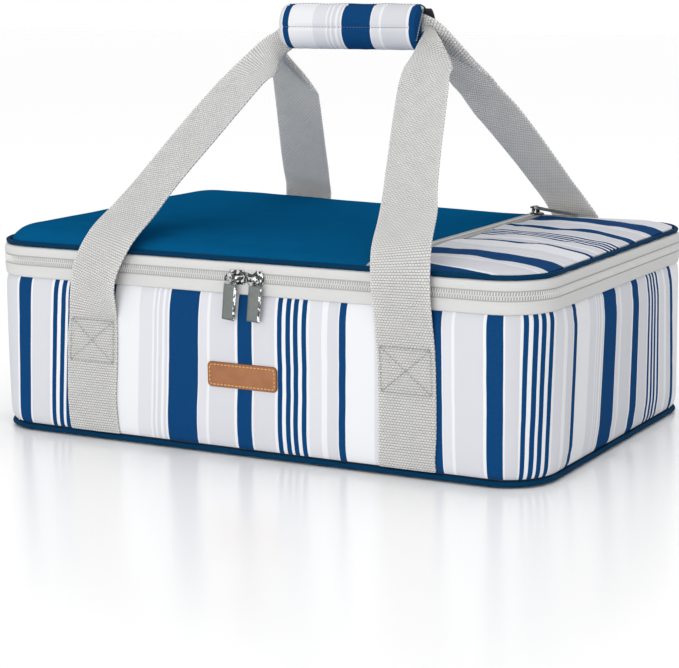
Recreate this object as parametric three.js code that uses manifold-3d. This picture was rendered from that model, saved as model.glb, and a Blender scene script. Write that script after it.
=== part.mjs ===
import * as THREE from "three";
import { mergeVertices } from "three/addons/utils/BufferGeometryUtils.js";
import Module from "manifold-3d";

// A soft-sided casserole carrier: a padded tub with a zipped lid, two webbing handles and a
// padded wrap that holds the handles together. Sizes are in millimetres. X runs along the long
// side, Y to the back and Z up, and the origin is the middle of the foot.

const wasm = await Module();
wasm.setup();

// Body
const bodyLength = 410;
const bodyDepth = 272;
const cornerRadius = 34;
const leastCornerRadius = 6;
const splitHeight = 118.5;
const seamGap = 0.3;

// Fabric skins and what they hold
const fabricThickness = 1;
const bottomThickness = 1.5;
const boardThickness = 3.4;
const foamThickness = 7;
const floorFoamThickness = 6;
const linerThickness = 0.8;
const pipingDiameter = 4.8;
const pipingProud = 0.6;
const pipingLift = 0.4;

// Bands and main zip
const bandHeight = 7.4;
const bandProud = 0.4;
const tapeHeight = 2.7;
const teethHeight = 1.3;
const teethProud = 0.8;
const hingeLength = 240;

// Lid
const lidEdgeRise = 11;
const crownLeft = 10.5;
const crownRight = 4.6;
const crownRun = 6;
const crownLeftX = -170;
const crownRightX = 66;
const pocketZipX = 94;
const pocketTapeWidth = 4.5;
const pocketChainWidth = 2.4;
const pocketChainHeight = 1.4;
const backingThickness = 0.6;

// Webbing handles and wrapped grip
const webbingWidth = 38;
const webbingThickness = 1.7;
const foldGap = 0.3;
const anchorSpacing = 234;
const stitchBelowSplit = 34.5;
const strapRearBowRight = 13;
const strapRearBowLeft = 2;
const shoulderWidth = 1.5;
const foldRun = 46;
const gripLength = 108;
const gripMouth = 2;
const gripBack = 14;
const gripAboveSplit = 152.5;
const gripPadSide = 7.5;
const gripPadTop = 3;
const gripPadBottom = 1.5;
const gripFabric = 1;
const gripChamfer = 4;
const closureThickness = 0.5;
const closureWidth = 12;
const closureInset = 8;
const flapClearance = 2.6;

// Label
const labelLength = 52;
const labelHeight = 16.5;
const labelThickness = 1.6;
const labelRadius = 3;
const labelMiddle = 53.8;

// Sliders and pulls
const slidersMeetX = 5;
const sliderLength = 13;
const sliderWidth = 9;
const sliderThickness = 2.2;
const barRadius = 0.8;
const barHeight = 4.6;
const barSpan = 4.8;
const barOffset = 2.5;
const postLength = 1.4;
const postWidth = 2.2;
const knuckleRadius = 2;
const knuckleLength = 4.2;
const pullThickness = 1.4;
const pullWidth = 8.6;
const pullNeck = 3.8;
const pullLength = 28;
const pocketPullLength = 35;
const pullHoleRadius = 1.6;
const pocketSliderInset = 20;

// One overrun for every cut and join
const overrun = 1;

// Facets
const cornerSteps = 5;
const domeSideSteps = 4;
const pipingSides = 8;
const barSides = 12;
const strapSteps = 24;

// How far in from the lid's edge its dome is measured, as shares of half the depth
const domeShares = [0.03, 0.06, 0.11, 0.2, 0.4, 0.85];

// The free strap's route from its stitch line to the grip's end, as shares of the way along X, Y
// and Z, and how much of the sideways bow it has there
const strapRouteShares = [
  [0, 0, 0, 0],
  [0, -0.018, 0.09, 0],
  [0.01, -0.04, 0.2, 0],
  [0.04, -0.028, 0.275, 0.05],
  [0.17, 0.105, 0.37, 0.35],
  [0.42, 0.38, 0.56, 1],
  [0.68, 0.66, 0.755, 0.9],
  [0.9, 0.9, 0.935, 0.35],
  [1, 1, 1, 0],
];

// How far into the grip, as a share of the way to its middle, the legs' curve is led on
const insideShare = 0.3;

// Half of a slider's outline, from tail to nose, as shares of its half length and half width
const sliderOutlineShares = [
  [-1, 0.5],
  [-0.75, 0.72],
  [0.2, 1],
  [0.72, 0.92],
  [1, 0.45],
];

// How much a corner's 45 degree cut shortens for each unit that it moves inwards
const cutLossShare = 2 - Math.SQRT2;

// Places worked out from the sizes
const halfLength = bodyLength / 2;
const halfDepth = bodyDepth / 2;
const pipingRadius = pipingDiameter / 2;
const pipingInset = pipingRadius - pipingProud;
const insidePiping = pipingInset + pipingRadius + seamGap;
const pipingTop = pipingLift + pipingDiameter;
const boardFoot = bottomThickness + seamGap;
const foamFoot = Math.max(boardFoot + boardThickness, pipingTop) + seamGap;
const wallFoot = pipingTop + seamGap;
const foamOut = fabricThickness + seamGap;
const foamIn = foamOut + foamThickness;
const linerOut = foamIn + seamGap;
const linerIn = linerOut + linerThickness;
const tubTop = splitHeight - seamGap;
const tapeFoot = tubTop - tapeHeight;
const bandTop = tapeFoot - seamGap;
const bandFoot = bandTop - bandHeight;
const lidFoot = splitHeight + seamGap;
const lidTapeTop = lidFoot + tapeHeight;
const lidBandFoot = lidTapeTop + seamGap;
const lidPipingMiddle = splitHeight + lidEdgeRise;
const lidPipingFoot = lidPipingMiddle - pipingRadius;
const lidBandTop = lidPipingFoot - seamGap;
const backingDrop = fabricThickness + seamGap;
const lidFoamDrop = backingDrop + backingThickness + seamGap;
const lidLinerTop = lidFoot + linerThickness;
const stitchHeight = splitHeight - stitchBelowSplit;
const gripHeight = splitHeight + gripAboveSplit;
const anchorX = anchorSpacing / 2;
const strapOut = halfDepth + seamGap + webbingThickness;
const halfWebbing = webbingWidth / 2;
const foldedHalfDepth = foldGap / 2 + webbingThickness;
const foldedHalfHeight = (halfWebbing + foldedHalfDepth) / 2;
const strapPlane = foldedHalfDepth + seamGap / 2;
const creaseHeight = gripHeight - foldedHalfHeight + foldedHalfDepth;
const gripHalf = gripLength / 2;

// The body's rounded outline seen from above, counter-clockwise from the back left corner, as
// points with outward normals
function outline(inset, sideSteps = 1) {
  const radius = Math.max(cornerRadius - inset, leastCornerRadius);
  const spanX = halfLength - inset - radius;
  const spanY = halfDepth - inset - radius;
  const signs = [[-1, 1], [-1, -1], [1, -1], [1, 1]];
  const arcs = signs.map(([signX, signY], corner) => {
    const points = [];
    for (let step = 0; step <= cornerSteps; step += 1) {
      const angle = (Math.PI / 2) * (corner + 1 + step / cornerSteps);
      const normal = new THREE.Vector2(Math.cos(angle), Math.sin(angle));
      const place = normal.clone().multiplyScalar(radius);
      place.add(new THREE.Vector2(signX * spanX, signY * spanY));
      points.push({ place, normal });
    }
    return points;
  });
  return arcs.flatMap((points, corner) => {
    const from = points.at(-1);
    const to = arcs[(corner + 1) % arcs.length][0];
    const between = [];
    for (let step = 1; step < sideSteps; step += 1) {
      const place = from.place.clone().lerp(to.place, step / sideSteps);
      between.push({ place, normal: from.normal });
    }
    return [...points, ...between];
  });
}

// Triangles that cap a loop of points, fanned from its middle
function fan(positions, indices, start, count) {
  const middle = new THREE.Vector3();
  for (let k = 0; k < count; k += 1) {
    middle.add(positions[start + k]);
  }
  positions.push(middle.divideScalar(count));
  const centre = positions.length - 1;
  for (let k = 0; k < count; k += 1) {
    indices.push(centre, start + k, start + ((k + 1) % count));
  }
}

// The geometry of a closed body, with its faces turned outward
function closedGeometry(positions, indices) {
  let volume = 0;
  for (let k = 0; k < indices.length; k += 3) {
    const [a, b, c] = [0, 1, 2].map((corner) => positions[indices[k + corner]]);
    volume += a.dot(new THREE.Vector3().crossVectors(b, c));
  }
  if (volume < 0) {
    indices.reverse();
  }
  const geometry = new THREE.BufferGeometry();
  geometry.setFromPoints(positions);
  geometry.setIndex(indices);
  geometry.computeVertexNormals();
  return geometry;
}

// A body through loops of points, capped at its two ends or joined end to end
function loft(loops, joined = false) {
  const count = loops[0].length;
  const positions = loops.flat();
  const indices = [];
  const spans = joined ? loops.length : loops.length - 1;
  for (let k = 0; k < spans; k += 1) {
    const here = k * count;
    const there = ((k + 1) % loops.length) * count;
    for (let j = 0; j < count; j += 1) {
      const next = (j + 1) % count;
      // Each square is split from its outer loop, so that plies with the same loops stay parallel
      const reach = [here, there].map((loop) => Math.hypot(positions[loop + j].x, positions[loop + j].y));
      if (reach[0] >= reach[1]) {
        indices.push(here + j, here + next, there + next, here + j, there + next, there + j);
      } else {
        indices.push(here + j, here + next, there + j, here + next, there + next, there + j);
      }
    }
  }
  if (!joined) {
    const firstCap = [];
    fan(positions, firstCap, 0, count);
    indices.push(...firstCap.reverse());
    fan(positions, indices, (loops.length - 1) * count, count);
  }
  return closedGeometry(positions, indices);
}

// A section of [inset, height] points carried along outline points
function along(points, section) {
  return points.map(({ place, normal }) =>
    section.map(([inset, height]) => {
      const spot = place.clone().addScaledVector(normal, -inset);
      return new THREE.Vector3(spot.x, spot.y, height);
    }),
  );
}

function allRound(section) {
  return loft(along(outline(0), section), true);
}

// The same section, open at the back, where the fabric hinge is
function roundTheFront(section) {
  const back = new THREE.Vector2(0, 1);
  const end = hingeLength / 2 + seamGap;
  const first = { place: new THREE.Vector2(-end, halfDepth), normal: back };
  const last = { place: new THREE.Vector2(end, halfDepth), normal: back };
  return loft(along([first, ...outline(0), last], section));
}

function rectangle(out, inside, low, high) {
  return [[out, low], [out, high], [inside, high], [inside, low]];
}

// A body of level outlines, each given as [inset, height]
function stack(levels) {
  return loft(levels.map(([inset, height]) => levelLoop(inset, () => height)));
}

function levelLoop(inset, heightAt, sideSteps = 1) {
  return outline(inset, sideSteps).map(({ place }) =>
    new THREE.Vector3(place.x, place.y, heightAt(place.x)),
  );
}

// Height of the lid's outer face, which is fuller towards the left
function crownAt(x) {
  const share = (x - crownLeftX) / (crownRightX - crownLeftX);
  return THREE.MathUtils.lerp(crownLeft, crownRight, THREE.MathUtils.clamp(share, 0, 1));
}

function lidTop(x, inset) {
  return lidPipingMiddle + crownAt(x) * (1 - Math.exp((insidePiping - inset) / crownRun));
}

const domeInsets = [insidePiping, ...domeShares.map((share) => insidePiping + share * halfDepth)];

function domeLoops(drop) {
  return domeInsets.map((inset) =>
    levelLoop(inset, (x) => lidTop(x, inset) - drop, domeSideSteps),
  );
}

// One ply of the domed lid, between two depths under its outer face
function domePly(drop, thickness) {
  return loft([...domeLoops(drop + thickness).reverse(), ...domeLoops(drop)]);
}

function pipingRing(middle) {
  const section = [];
  for (let k = 0; k < pipingSides; k += 1) {
    const angle = (2 * Math.PI * k) / pipingSides;
    const inset = pipingInset + pipingRadius * Math.cos(angle);
    section.push([inset, middle + pipingRadius * Math.sin(angle)]);
  }
  return allRound(section);
}

// Booleans
function solidOf(geometry) {
  const bare = geometry.clone();
  bare.deleteAttribute("normal");
  bare.deleteAttribute("uv");
  const merged = mergeVertices(bare);
  const triVerts = new Uint32Array(merged.index.array);
  const vertProperties = new Float32Array(merged.attributes.position.array);
  return new wasm.Manifold(new wasm.Mesh({ numProp: 3, vertProperties, triVerts }));
}

function geometryOf(solid) {
  const mesh = solid.getMesh();
  const geometry = new THREE.BufferGeometry();
  const position = new THREE.BufferAttribute(new Float32Array(mesh.vertProperties), 3);
  geometry.setAttribute("position", position);
  geometry.setIndex(new THREE.BufferAttribute(new Uint32Array(mesh.triVerts), 1));
  geometry.computeVertexNormals();
  return geometry;
}

function joined(...geometries) {
  return geometryOf(geometries.map(solidOf).reduce((sum, next) => sum.add(next)));
}

function less(geometry, ...cutters) {
  const start = solidOf(geometry);
  return geometryOf(cutters.map(solidOf).reduce((rest, cut) => rest.subtract(cut), start));
}

function box(low, high) {
  const size = high.map((value, k) => value - low[k]);
  const geometry = new THREE.BoxGeometry(...size);
  return geometry.translate(...low.map((value, k) => value + size[k] / 2));
}

function polygon(points) {
  return new THREE.Shape(points.map(([x, y]) => new THREE.Vector2(x, y)));
}

function extruded(shape, depth) {
  return new THREE.ExtrudeGeometry(shape, { depth, bevelEnabled: false, curveSegments: cornerSteps });
}

// A section drawn in Y and Z, extruded along X about the middle
function alongX(shape, length) {
  const axes = [new THREE.Vector3(0, 1, 0), new THREE.Vector3(0, 0, 1), new THREE.Vector3(1, 0, 0)];
  const turned = new THREE.Matrix4().makeBasis(...axes);
  return extruded(shape, length).translate(0, 0, -length / 2).applyMatrix4(turned);
}

// Finishes
const finishes = {
  stripes: { color: 0xe6e7ed, roughness: 0.85 },
  navy: { color: 0x144a73, roughness: 0.8 },
  band: { color: 0xe1e1de, roughness: 0.8 },
  webbing: { color: 0xc2c2c0, roughness: 0.85 },
  lining: { color: 0xc4c9ce, roughness: 0.35, metalness: 0.3 },
  foam: { color: 0xf0efe8, roughness: 0.95 },
  board: { color: 0x3a3d42, roughness: 0.7 },
  leather: { color: 0xb2703f, roughness: 0.6 },
  metal: { color: 0xc9ccd0, roughness: 0.25, metalness: 1 },
  tape: { color: 0xd2d3d3, roughness: 0.75 },
  closure: { color: 0x20242b, roughness: 0.95 },
};

function piece(name, geometry, finish) {
  const mesh = new THREE.Mesh(geometry, new THREE.MeshStandardMaterial(finishes[finish]));
  mesh.name = name;
  return mesh;
}

// The tub, from the foot up
function tub() {
  const group = new THREE.Group();
  const pipingMiddle = pipingLift + pipingRadius;
  const boardTop = boardFoot + boardThickness;
  const foamFloor = foamFoot + floorFoamThickness;
  const linerFoot = foamFloor + seamGap;
  const linerFloor = linerFoot + linerThickness;
  const bottom = stack([[insidePiping, 0], [insidePiping, bottomThickness]]);
  const board = stack([[insidePiping, boardFoot], [insidePiping, boardTop]]);
  const wall = allRound(rectangle(0, fabricThickness, wallFoot, bandFoot - seamGap));
  const foam = stack([[foamOut, foamFoot], [foamOut, bandTop], [foamIn, bandTop], [foamIn, foamFloor]]);
  const liner = stack([
    [linerOut, linerFoot], [linerOut, bandTop], [linerIn, bandTop], [linerIn, linerFloor],
  ]);
  group.add(
    piece("bottom_panel", bottom, "navy"),
    piece("bottom_piping", pipingRing(pipingMiddle), "navy"),
    piece("stiffener_board", board, "board"),
    piece("tub_foam", foam, "foam"),
    piece("tub_liner", liner, "lining"),
    piece("wall_fabric", wall, "stripes"),
    piece("lower_band", allRound(rectangle(-bandProud, fabricThickness, bandFoot, bandTop)), "band"),
    piece("rim_binding", allRound(rectangle(foamOut, linerIn, tapeFoot, tubTop)), "band"),
    piece("zip_lower", roundTheFront(zipSection(tapeFoot, tubTop)), "tape"),
    piece("hinge_strip", hingeStrip(), "band"),
    piece("leather_label", label(), "leather"),
  );
  for (const [side, sign] of [["left", -1], ["right", 1]]) {
    group.add(
      piece(`front_anchor_${side}`, anchor(sign * anchorX, -1), "webbing"),
      piece(`rear_anchor_${side}`, anchor(sign * anchorX, 1), "webbing"),
    );
  }
  return group;
}

// One half of the main zip: its tape, with the teeth along the edge at the split
function zipSection(tapeEnd, split) {
  const up = Math.sign(split - tapeEnd);
  const teethEdge = split - up * teethHeight;
  return [
    [fabricThickness, tapeEnd],
    [0, tapeEnd],
    [0, teethEdge - up * seamGap],
    [-teethProud, teethEdge],
    [-teethProud, split],
    [fabricThickness, split],
  ];
}

function hingeStrip() {
  const half = hingeLength / 2;
  return box([-half, halfDepth - fabricThickness, tapeFoot], [half, halfDepth, lidTapeTop]);
}

// A sewn length of webbing on the front (-1) or rear (1) wall
function anchor(x, side) {
  const near = side * (halfDepth + seamGap);
  const far = side * strapOut;
  const low = [x - halfWebbing, Math.min(near, far), wallFoot];
  return box(low, [x + halfWebbing, Math.max(near, far), stitchHeight]);
}

function label() {
  const spanX = labelLength / 2 - labelRadius;
  const spanZ = labelHeight / 2 - labelRadius;
  const shape = new THREE.Shape();
  shape.absarc(spanX, spanZ, labelRadius, 0, Math.PI / 2);
  shape.absarc(-spanX, spanZ, labelRadius, Math.PI / 2, Math.PI);
  shape.absarc(-spanX, -spanZ, labelRadius, Math.PI, 1.5 * Math.PI);
  shape.absarc(spanX, -spanZ, labelRadius, 1.5 * Math.PI, 2 * Math.PI);
  const plate = extruded(shape, labelThickness).rotateX(Math.PI / 2);
  return plate.translate(0, -halfDepth - seamGap, labelMiddle);
}

// The lid, from the split up
function lid() {
  const group = new THREE.Group();
  const foamStart = lidLinerTop + seamGap;
  const foamSides = [[foamOut, foamStart], [foamOut, lidBandTop], [insidePiping, lidBandTop]];
  const foamWalls = foamSides.map(([inset, height]) =>
    levelLoop(inset, () => height, domeSideSteps),
  );
  const foam = loft([...foamWalls, ...domeLoops(lidFoamDrop)]);
  const liner = stack([[foamOut, lidFoot], [foamOut, lidLinerTop]]);
  const band = allRound(rectangle(-bandProud, fabricThickness, lidBandFoot, lidBandTop));
  group.add(
    piece("upper_band", band, "band"),
    piece("zip_upper", roundTheFront(zipSection(lidTapeTop, lidFoot)), "tape"),
    piece("lid_piping", pipingRing(lidPipingMiddle), "navy"),
    piece("lid_foam", foam, "foam"),
    piece("lid_liner", liner, "lining"),
    piece("lid_backing", domePly(backingDrop, backingThickness), "navy"),
    ...lidTopPieces(),
  );
  return group;
}

// The outer ply, parted along the pocket zip
function lidTopPieces() {
  const chainSide = pocketChainWidth / 2 + seamGap;
  const tapeSide = chainSide + pocketTapeWidth;
  const panelSide = tapeSide + seamGap;
  const ply = solidOf(domePly(0, fabricThickness));
  const cut = (from, to) => {
    const low = [from, -halfDepth, splitHeight];
    const high = [to, halfDepth, splitHeight + bodyDepth];
    return geometryOf(ply.intersect(solidOf(box(low, high))));
  };
  return [
    piece("lid_panel", cut(-halfLength, pocketZipX - panelSide), "navy"),
    piece("pocket_tape_left", cut(pocketZipX - tapeSide, pocketZipX - chainSide), "tape"),
    piece("pocket_tape_right", cut(pocketZipX + chainSide, pocketZipX + tapeSide), "tape"),
    piece("pocket_panel", cut(pocketZipX + panelSide, halfLength), "stripes"),
    piece("pocket_chain", pocketChain(), "tape"),
  ];
}

// The pocket zip's closed teeth, which follow the dome from front to back
function pocketChain() {
  const foot = fabricThickness;
  const half = pocketChainWidth / 2;
  const insets = [insidePiping + seamGap, ...domeInsets.slice(1)];
  const stations = [
    ...insets.map((inset) => [inset - halfDepth, lidTop(pocketZipX, inset)]),
    ...insets.map((inset) => [halfDepth - inset, lidTop(pocketZipX, inset)]).reverse(),
  ];
  return loft(stations.map(([y, z]) => [
    new THREE.Vector3(pocketZipX - half, y, z - foot),
    new THREE.Vector3(pocketZipX + half, y, z - foot),
    new THREE.Vector3(pocketZipX + half, y, z - foot + pocketChainHeight),
    new THREE.Vector3(pocketZipX - half, y, z - foot + pocketChainHeight),
  ]));
}

// A zip slider lying on the XY plane, with its travel along X and a bar for its pull
function slider() {
  const half = sliderOutlineShares.map(([along, across]) => [
    (along * sliderLength) / 2,
    (across * sliderWidth) / 2,
  ]);
  const mirrored = half.map(([u, v]) => [u, -v]).reverse();
  const plate = extruded(polygon([...half, ...mirrored]), sliderThickness);
  const postMiddle = (barSpan + postLength) / 2;
  const posts = [-1, 1].map((sign) => {
    const middle = sign * postMiddle - barOffset;
    return box(
      [middle - postLength / 2, -postWidth / 2, sliderThickness / 2],
      [middle + postLength / 2, postWidth / 2, barHeight + barRadius],
    );
  });
  const barLength = barSpan + postLength;
  const bar = new THREE.CylinderGeometry(barRadius, barRadius, barLength, barSides);
  bar.rotateZ(Math.PI / 2).translate(-barOffset, 0, barHeight);
  return joined(plate, ...posts, bar);
}

// A flat pull hung on the slider's bar, which lies along X at the origin
function pull(length) {
  const ring = new THREE.Shape();
  ring.absarc(0, 0, knuckleRadius, 0, 2 * Math.PI);
  const bore = barRadius + seamGap;
  const knuckle = extruded(ring, knuckleLength).rotateY(Math.PI / 2).translate(-knuckleLength / 2, 0, 0);
  const hole = new THREE.CylinderGeometry(bore, bore, knuckleLength + 2 * overrun, barSides);
  hole.rotateZ(Math.PI / 2);
  const neckHalf = knuckleLength / 2;
  const half = pullWidth / 2;
  const shape = polygon([
    [-neckHalf, 0], [-neckHalf, -pullNeck], [-half, -pullNeck - neckHalf], [-half, neckHalf - length],
    [-neckHalf, -length], [neckHalf, -length], [half, neckHalf - length],
    [half, -pullNeck - neckHalf], [neckHalf, -pullNeck], [neckHalf, 0],
  ]);
  const blade = extruded(shape, pullThickness).translate(0, 0, -pullThickness / 2);
  const eye = new THREE.CylinderGeometry(
    pullHoleRadius, pullHoleRadius, pullThickness + 2 * overrun, barSides,
  );
  eye.rotateX(Math.PI / 2).translate(0, pullHoleRadius + half - length, 0);
  return less(joined(knuckle, blade), hole, eye);
}

// The two main sliders, nose to nose at the front, and their hanging pulls
function mainSliders() {
  const group = new THREE.Group();
  for (const [side, sign] of [["left", -1], ["right", 1]]) {
    const holder = new THREE.Group();
    const middle = slidersMeetX + sign * (sliderLength / 2 + seamGap);
    holder.position.set(middle, -halfDepth - teethProud - seamGap, splitHeight);
    holder.rotation.x = Math.PI / 2;
    const body = piece(`slider_${side}`, slider(), "metal");
    const tab = piece(`pull_${side}`, pull(pullLength), "metal");
    if (sign > 0) {
      body.geometry.rotateZ(Math.PI);
    }
    tab.position.set(sign * barOffset, 0, barHeight);
    holder.add(body, tab);
    group.add(holder);
  }
  return group;
}

// The pocket's slider at the back end of its zip, with its pull lying on the striped panel
function pocketSlider() {
  const holder = new THREE.Group();
  const deepest = domeInsets.at(-1);
  const seat = lidTop(pocketZipX, deepest) - fabricThickness + pocketChainHeight + seamGap;
  holder.position.set(pocketZipX, halfDepth - pocketSliderInset, seat);
  holder.rotation.z = Math.PI / 2;
  const body = piece("pocket_slider", slider(), "metal");
  const tab = piece("pocket_pull", pull(pocketPullLength), "metal");
  tab.position.set(-barOffset, 0, barHeight);
  const fall = barHeight + seat - lidTop(pocketZipX, deepest) - pullThickness / 2 - 2 * seamGap;
  tab.rotation.x = Math.asin(fall / pocketPullLength);
  holder.add(body, tab);
  return holder;
}

// The route of one free leg's crease, from its stitch line to the grip and a little way inside
function legRoute(side, sign) {
  const bow = sign < 0 ? strapRearBowLeft : strapRearBowRight;
  const plane = gripBack + side * strapPlane;
  const wall = side * (strapOut + foldGap / 2);
  const start = new THREE.Vector3(sign * anchorX, wall, stitchHeight + seamGap);
  const end = new THREE.Vector3(sign * (gripHalf + gripMouth), plane, creaseHeight);
  const route = strapRouteShares.map(([x, y, z, bowShare]) => new THREE.Vector3(
    start.x + x * (end.x - start.x) + (side > 0 ? sign * bowShare * bow : 0),
    start.y + y * (end.y - start.y),
    start.z + z * (end.z - start.z),
  ));
  return [...route, new THREE.Vector3(0, plane, creaseHeight).lerp(end, 1 - insideShare)];
}

// The leg as stations of its crease, with how far it is folded there, the grip's end last
function legStations(side, sign) {
  const route = legRoute(side, sign);
  const curve = new THREE.CatmullRomCurve3(route, false, "centripetal");
  const last = (route.length - 2) / (route.length - 1);
  const stations = [];
  for (let step = 0; step <= strapSteps; step += 1) {
    const share = (last * step) / strapSteps;
    const crease = curve.getPoint(share);
    const tangent = curve.getTangent(share).multiplyScalar(-sign);
    const folded = 1 - THREE.MathUtils.smoothstep(crease.distanceTo(route.at(-2)), 0, foldRun);
    stations.push({ crease, tangent, folded, sign });
  }
  stations.at(-1).tangent = new THREE.Vector3(1, 0, 0);
  return stations;
}

// The strap's section there: its outer half and its inner half, hinged along the crease
function strapSection({ crease, tangent, folded, sign }, side) {
  const upright = new THREE.Vector3(0, 0, 1);
  const sideways = new THREE.Vector3(sign, 0, 0);
  const halves = [1, -1].map((turn) => {
    const flat = sideways.clone().multiplyScalar(turn).projectOnPlane(tangent).normalize();
    const across = flat.multiplyScalar(1 - folded).addScaledVector(upright, folded);
    across.projectOnPlane(tangent).normalize();
    const under = new THREE.Vector3().crossVectors(tangent, across).multiplyScalar(side * turn);
    return { across, under };
  });
  const [outer, inner] = halves;
  const crest = outer.under.clone().add(inner.under).sub(outer.across).sub(inner.across).normalize();
  const face = (depth) => [
    crease.clone().addScaledVector(outer.under, depth).addScaledVector(outer.across, halfWebbing),
    crease.clone().addScaledVector(outer.under, depth).addScaledVector(outer.across, shoulderWidth),
    crease.clone().addScaledVector(crest, depth),
    crease.clone().addScaledVector(inner.under, depth).addScaledVector(inner.across, shoulderWidth),
    crease.clone().addScaledVector(inner.under, depth).addScaledVector(inner.across, halfWebbing),
  ];
  return [...face(foldGap / 2), ...face(foldedHalfDepth).reverse()];
}

function strap(side) {
  const stations = [...legStations(side, -1), ...legStations(side, 1).reverse()];
  const loops = stations.map((station) => strapSection(station, side));
  const count = loops[0].length;
  const positions = loops.flat();
  const indices = [];
  for (let k = 0; k + 1 < loops.length; k += 1) {
    for (let j = 0; j < count; j += 1) {
      const [a, b] = [k * count + j, k * count + ((j + 1) % count)];
      indices.push(a, b, b + count, a, b + count, a + count);
    }
  }
  // Each end is closed by squares between the strap's two faces
  const last = (loops.length - 1) * count;
  for (let j = 0; j + 1 < count / 2; j += 1) {
    const [a, b, c, d] = [j, j + 1, count - 2 - j, count - 1 - j];
    indices.push(a, c, b, a, d, c);
    indices.push(last + a, last + b, last + c, last + a, last + c, last + d);
  }
  return closedGeometry(positions, indices);
}

// The wrap round both straps: a padded cover open to the front, and the flap that closes it
function grip() {
  const group = new THREE.Group();
  group.position.set(0, gripBack, gripHeight);
  const room = foldedHalfHeight + seamGap;
  const strapFace = strapPlane + foldedHalfDepth + seamGap;
  const padBack = strapFace + gripPadSide;
  const padTop = room + gripPadTop;
  const padBottom = -room - gripPadBottom;
  const coverBack = padBack + seamGap + gripFabric;
  const coverTop = padTop + seamGap + gripFabric;
  const coverBottom = padBottom - seamGap - gripFabric;
  const front = -padBack;
  const flapInner = front - seamGap;
  const flapOuter = flapInner - gripFabric;
  const loopTop = coverBottom - seamGap;
  const hookTop = loopTop - closureThickness - seamGap;
  const lipTop = hookTop - closureThickness - seamGap;
  const lipBottom = lipTop - gripFabric;
  const insideCut = gripChamfer - gripFabric * cutLossShare;
  const padCut = insideCut - seamGap * cutLossShare;
  const innerFace = { back: strapFace, top: room, bottom: -room, cut: seamGap };
  const padFace = { back: padBack, top: padTop, bottom: padBottom, cut: padCut };
  const coverInside = {
    back: padBack + seamGap, top: padTop + seamGap, bottom: padBottom - seamGap, cut: insideCut,
  };
  const coverFace = { back: coverBack, top: coverTop, bottom: coverBottom, cut: gripChamfer };
  const pad = arch(front, padFace, innerFace);
  const cover = arch(front, coverFace, coverInside);
  const lipEnd = closureWidth - closureInset + gripFabric;
  const flap = polygon([
    [flapOuter, coverTop], [flapOuter, lipTop], [flapInner, lipBottom], [lipEnd, lipBottom],
    [lipEnd, lipTop],
    [flapInner, lipTop], [flapInner, flapClearance - room], [-strapFace, flapClearance - room],
    [-strapFace, room - flapClearance / 2], [flapInner, room - flapClearance / 2],
    [flapInner, coverTop],
  ]);
  const closure = (top) => polygon([
    [-closureInset, top], [-closureInset, top - closureThickness],
    [closureWidth - closureInset, top - closureThickness], [closureWidth - closureInset, top],
  ]);
  const closureLength = gripLength - 2 * closureInset;
  group.add(
    piece("grip_pad", alongX(pad, gripLength - 2 * gripFabric), "foam"),
    piece("grip_cover", alongX(cover, gripLength), "stripes"),
    piece("grip_flap", alongX(flap, gripLength), "stripes"),
    piece("loop_tape", alongX(closure(loopTop), closureLength), "closure"),
    piece("hook_tape", alongX(closure(hookTop), closureLength), "closure"),
  );
  return group;
}

// A section open to the front, between an outer and an inner C, each with its back corners cut
function arch(front, outer, inner) {
  const line = ({ back, top, bottom, cut }) => [
    [front, top], [back - cut, top], [back, top - cut],
    [back, bottom + cut], [back - cut, bottom], [front, bottom],
  ];
  return polygon([...line(outer), ...line(inner).reverse()]);
}

function handles() {
  const group = new THREE.Group();
  group.add(
    piece("front_strap", strap(-1), "webbing"),
    piece("rear_strap", strap(1), "webbing"),
    grip(),
  );
  return group;
}

const carrier = new THREE.Group();
carrier.name = "casserole_carrier";
carrier.add(tub(), lid(), mainSliders(), pocketSlider(), handles());

export default carrier;
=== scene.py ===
"""The looks of a soft-sided casserole carrier: a padded striped tub with a zipped lid, two webbing
handles in a wrapped grip, and a leather label. Lengths are in metres, X runs along the long side,
Y to the back and Z up."""

import math

import bmesh
import bpy
import numpy as np
from mathutils import Matrix, Vector


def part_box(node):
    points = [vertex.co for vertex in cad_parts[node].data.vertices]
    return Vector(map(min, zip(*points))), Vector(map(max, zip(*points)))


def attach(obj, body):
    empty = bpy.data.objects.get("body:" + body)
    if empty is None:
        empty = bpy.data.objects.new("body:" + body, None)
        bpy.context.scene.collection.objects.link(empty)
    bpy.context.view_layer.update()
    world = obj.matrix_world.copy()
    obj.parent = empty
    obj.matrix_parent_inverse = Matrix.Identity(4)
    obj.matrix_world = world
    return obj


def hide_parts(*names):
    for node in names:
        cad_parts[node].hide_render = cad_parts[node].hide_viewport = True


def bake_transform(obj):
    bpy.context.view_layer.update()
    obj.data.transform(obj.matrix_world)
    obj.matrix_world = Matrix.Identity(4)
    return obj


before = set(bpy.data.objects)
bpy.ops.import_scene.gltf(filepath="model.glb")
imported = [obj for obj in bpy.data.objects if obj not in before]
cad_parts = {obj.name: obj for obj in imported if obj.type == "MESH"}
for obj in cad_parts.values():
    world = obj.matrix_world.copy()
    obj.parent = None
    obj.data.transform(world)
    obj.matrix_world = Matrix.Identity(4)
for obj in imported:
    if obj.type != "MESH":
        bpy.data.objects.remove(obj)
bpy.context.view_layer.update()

MM = 0.001
TURN = 2 * math.pi
QUARTER = math.pi / 2


def heights_of(node):
    """The lowest and highest point of a node of the frame."""
    low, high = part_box(node)
    return low.z, high.z


def middle_of(node):
    return [(low + high) / 2 for low, high in zip(*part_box(node))]


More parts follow.
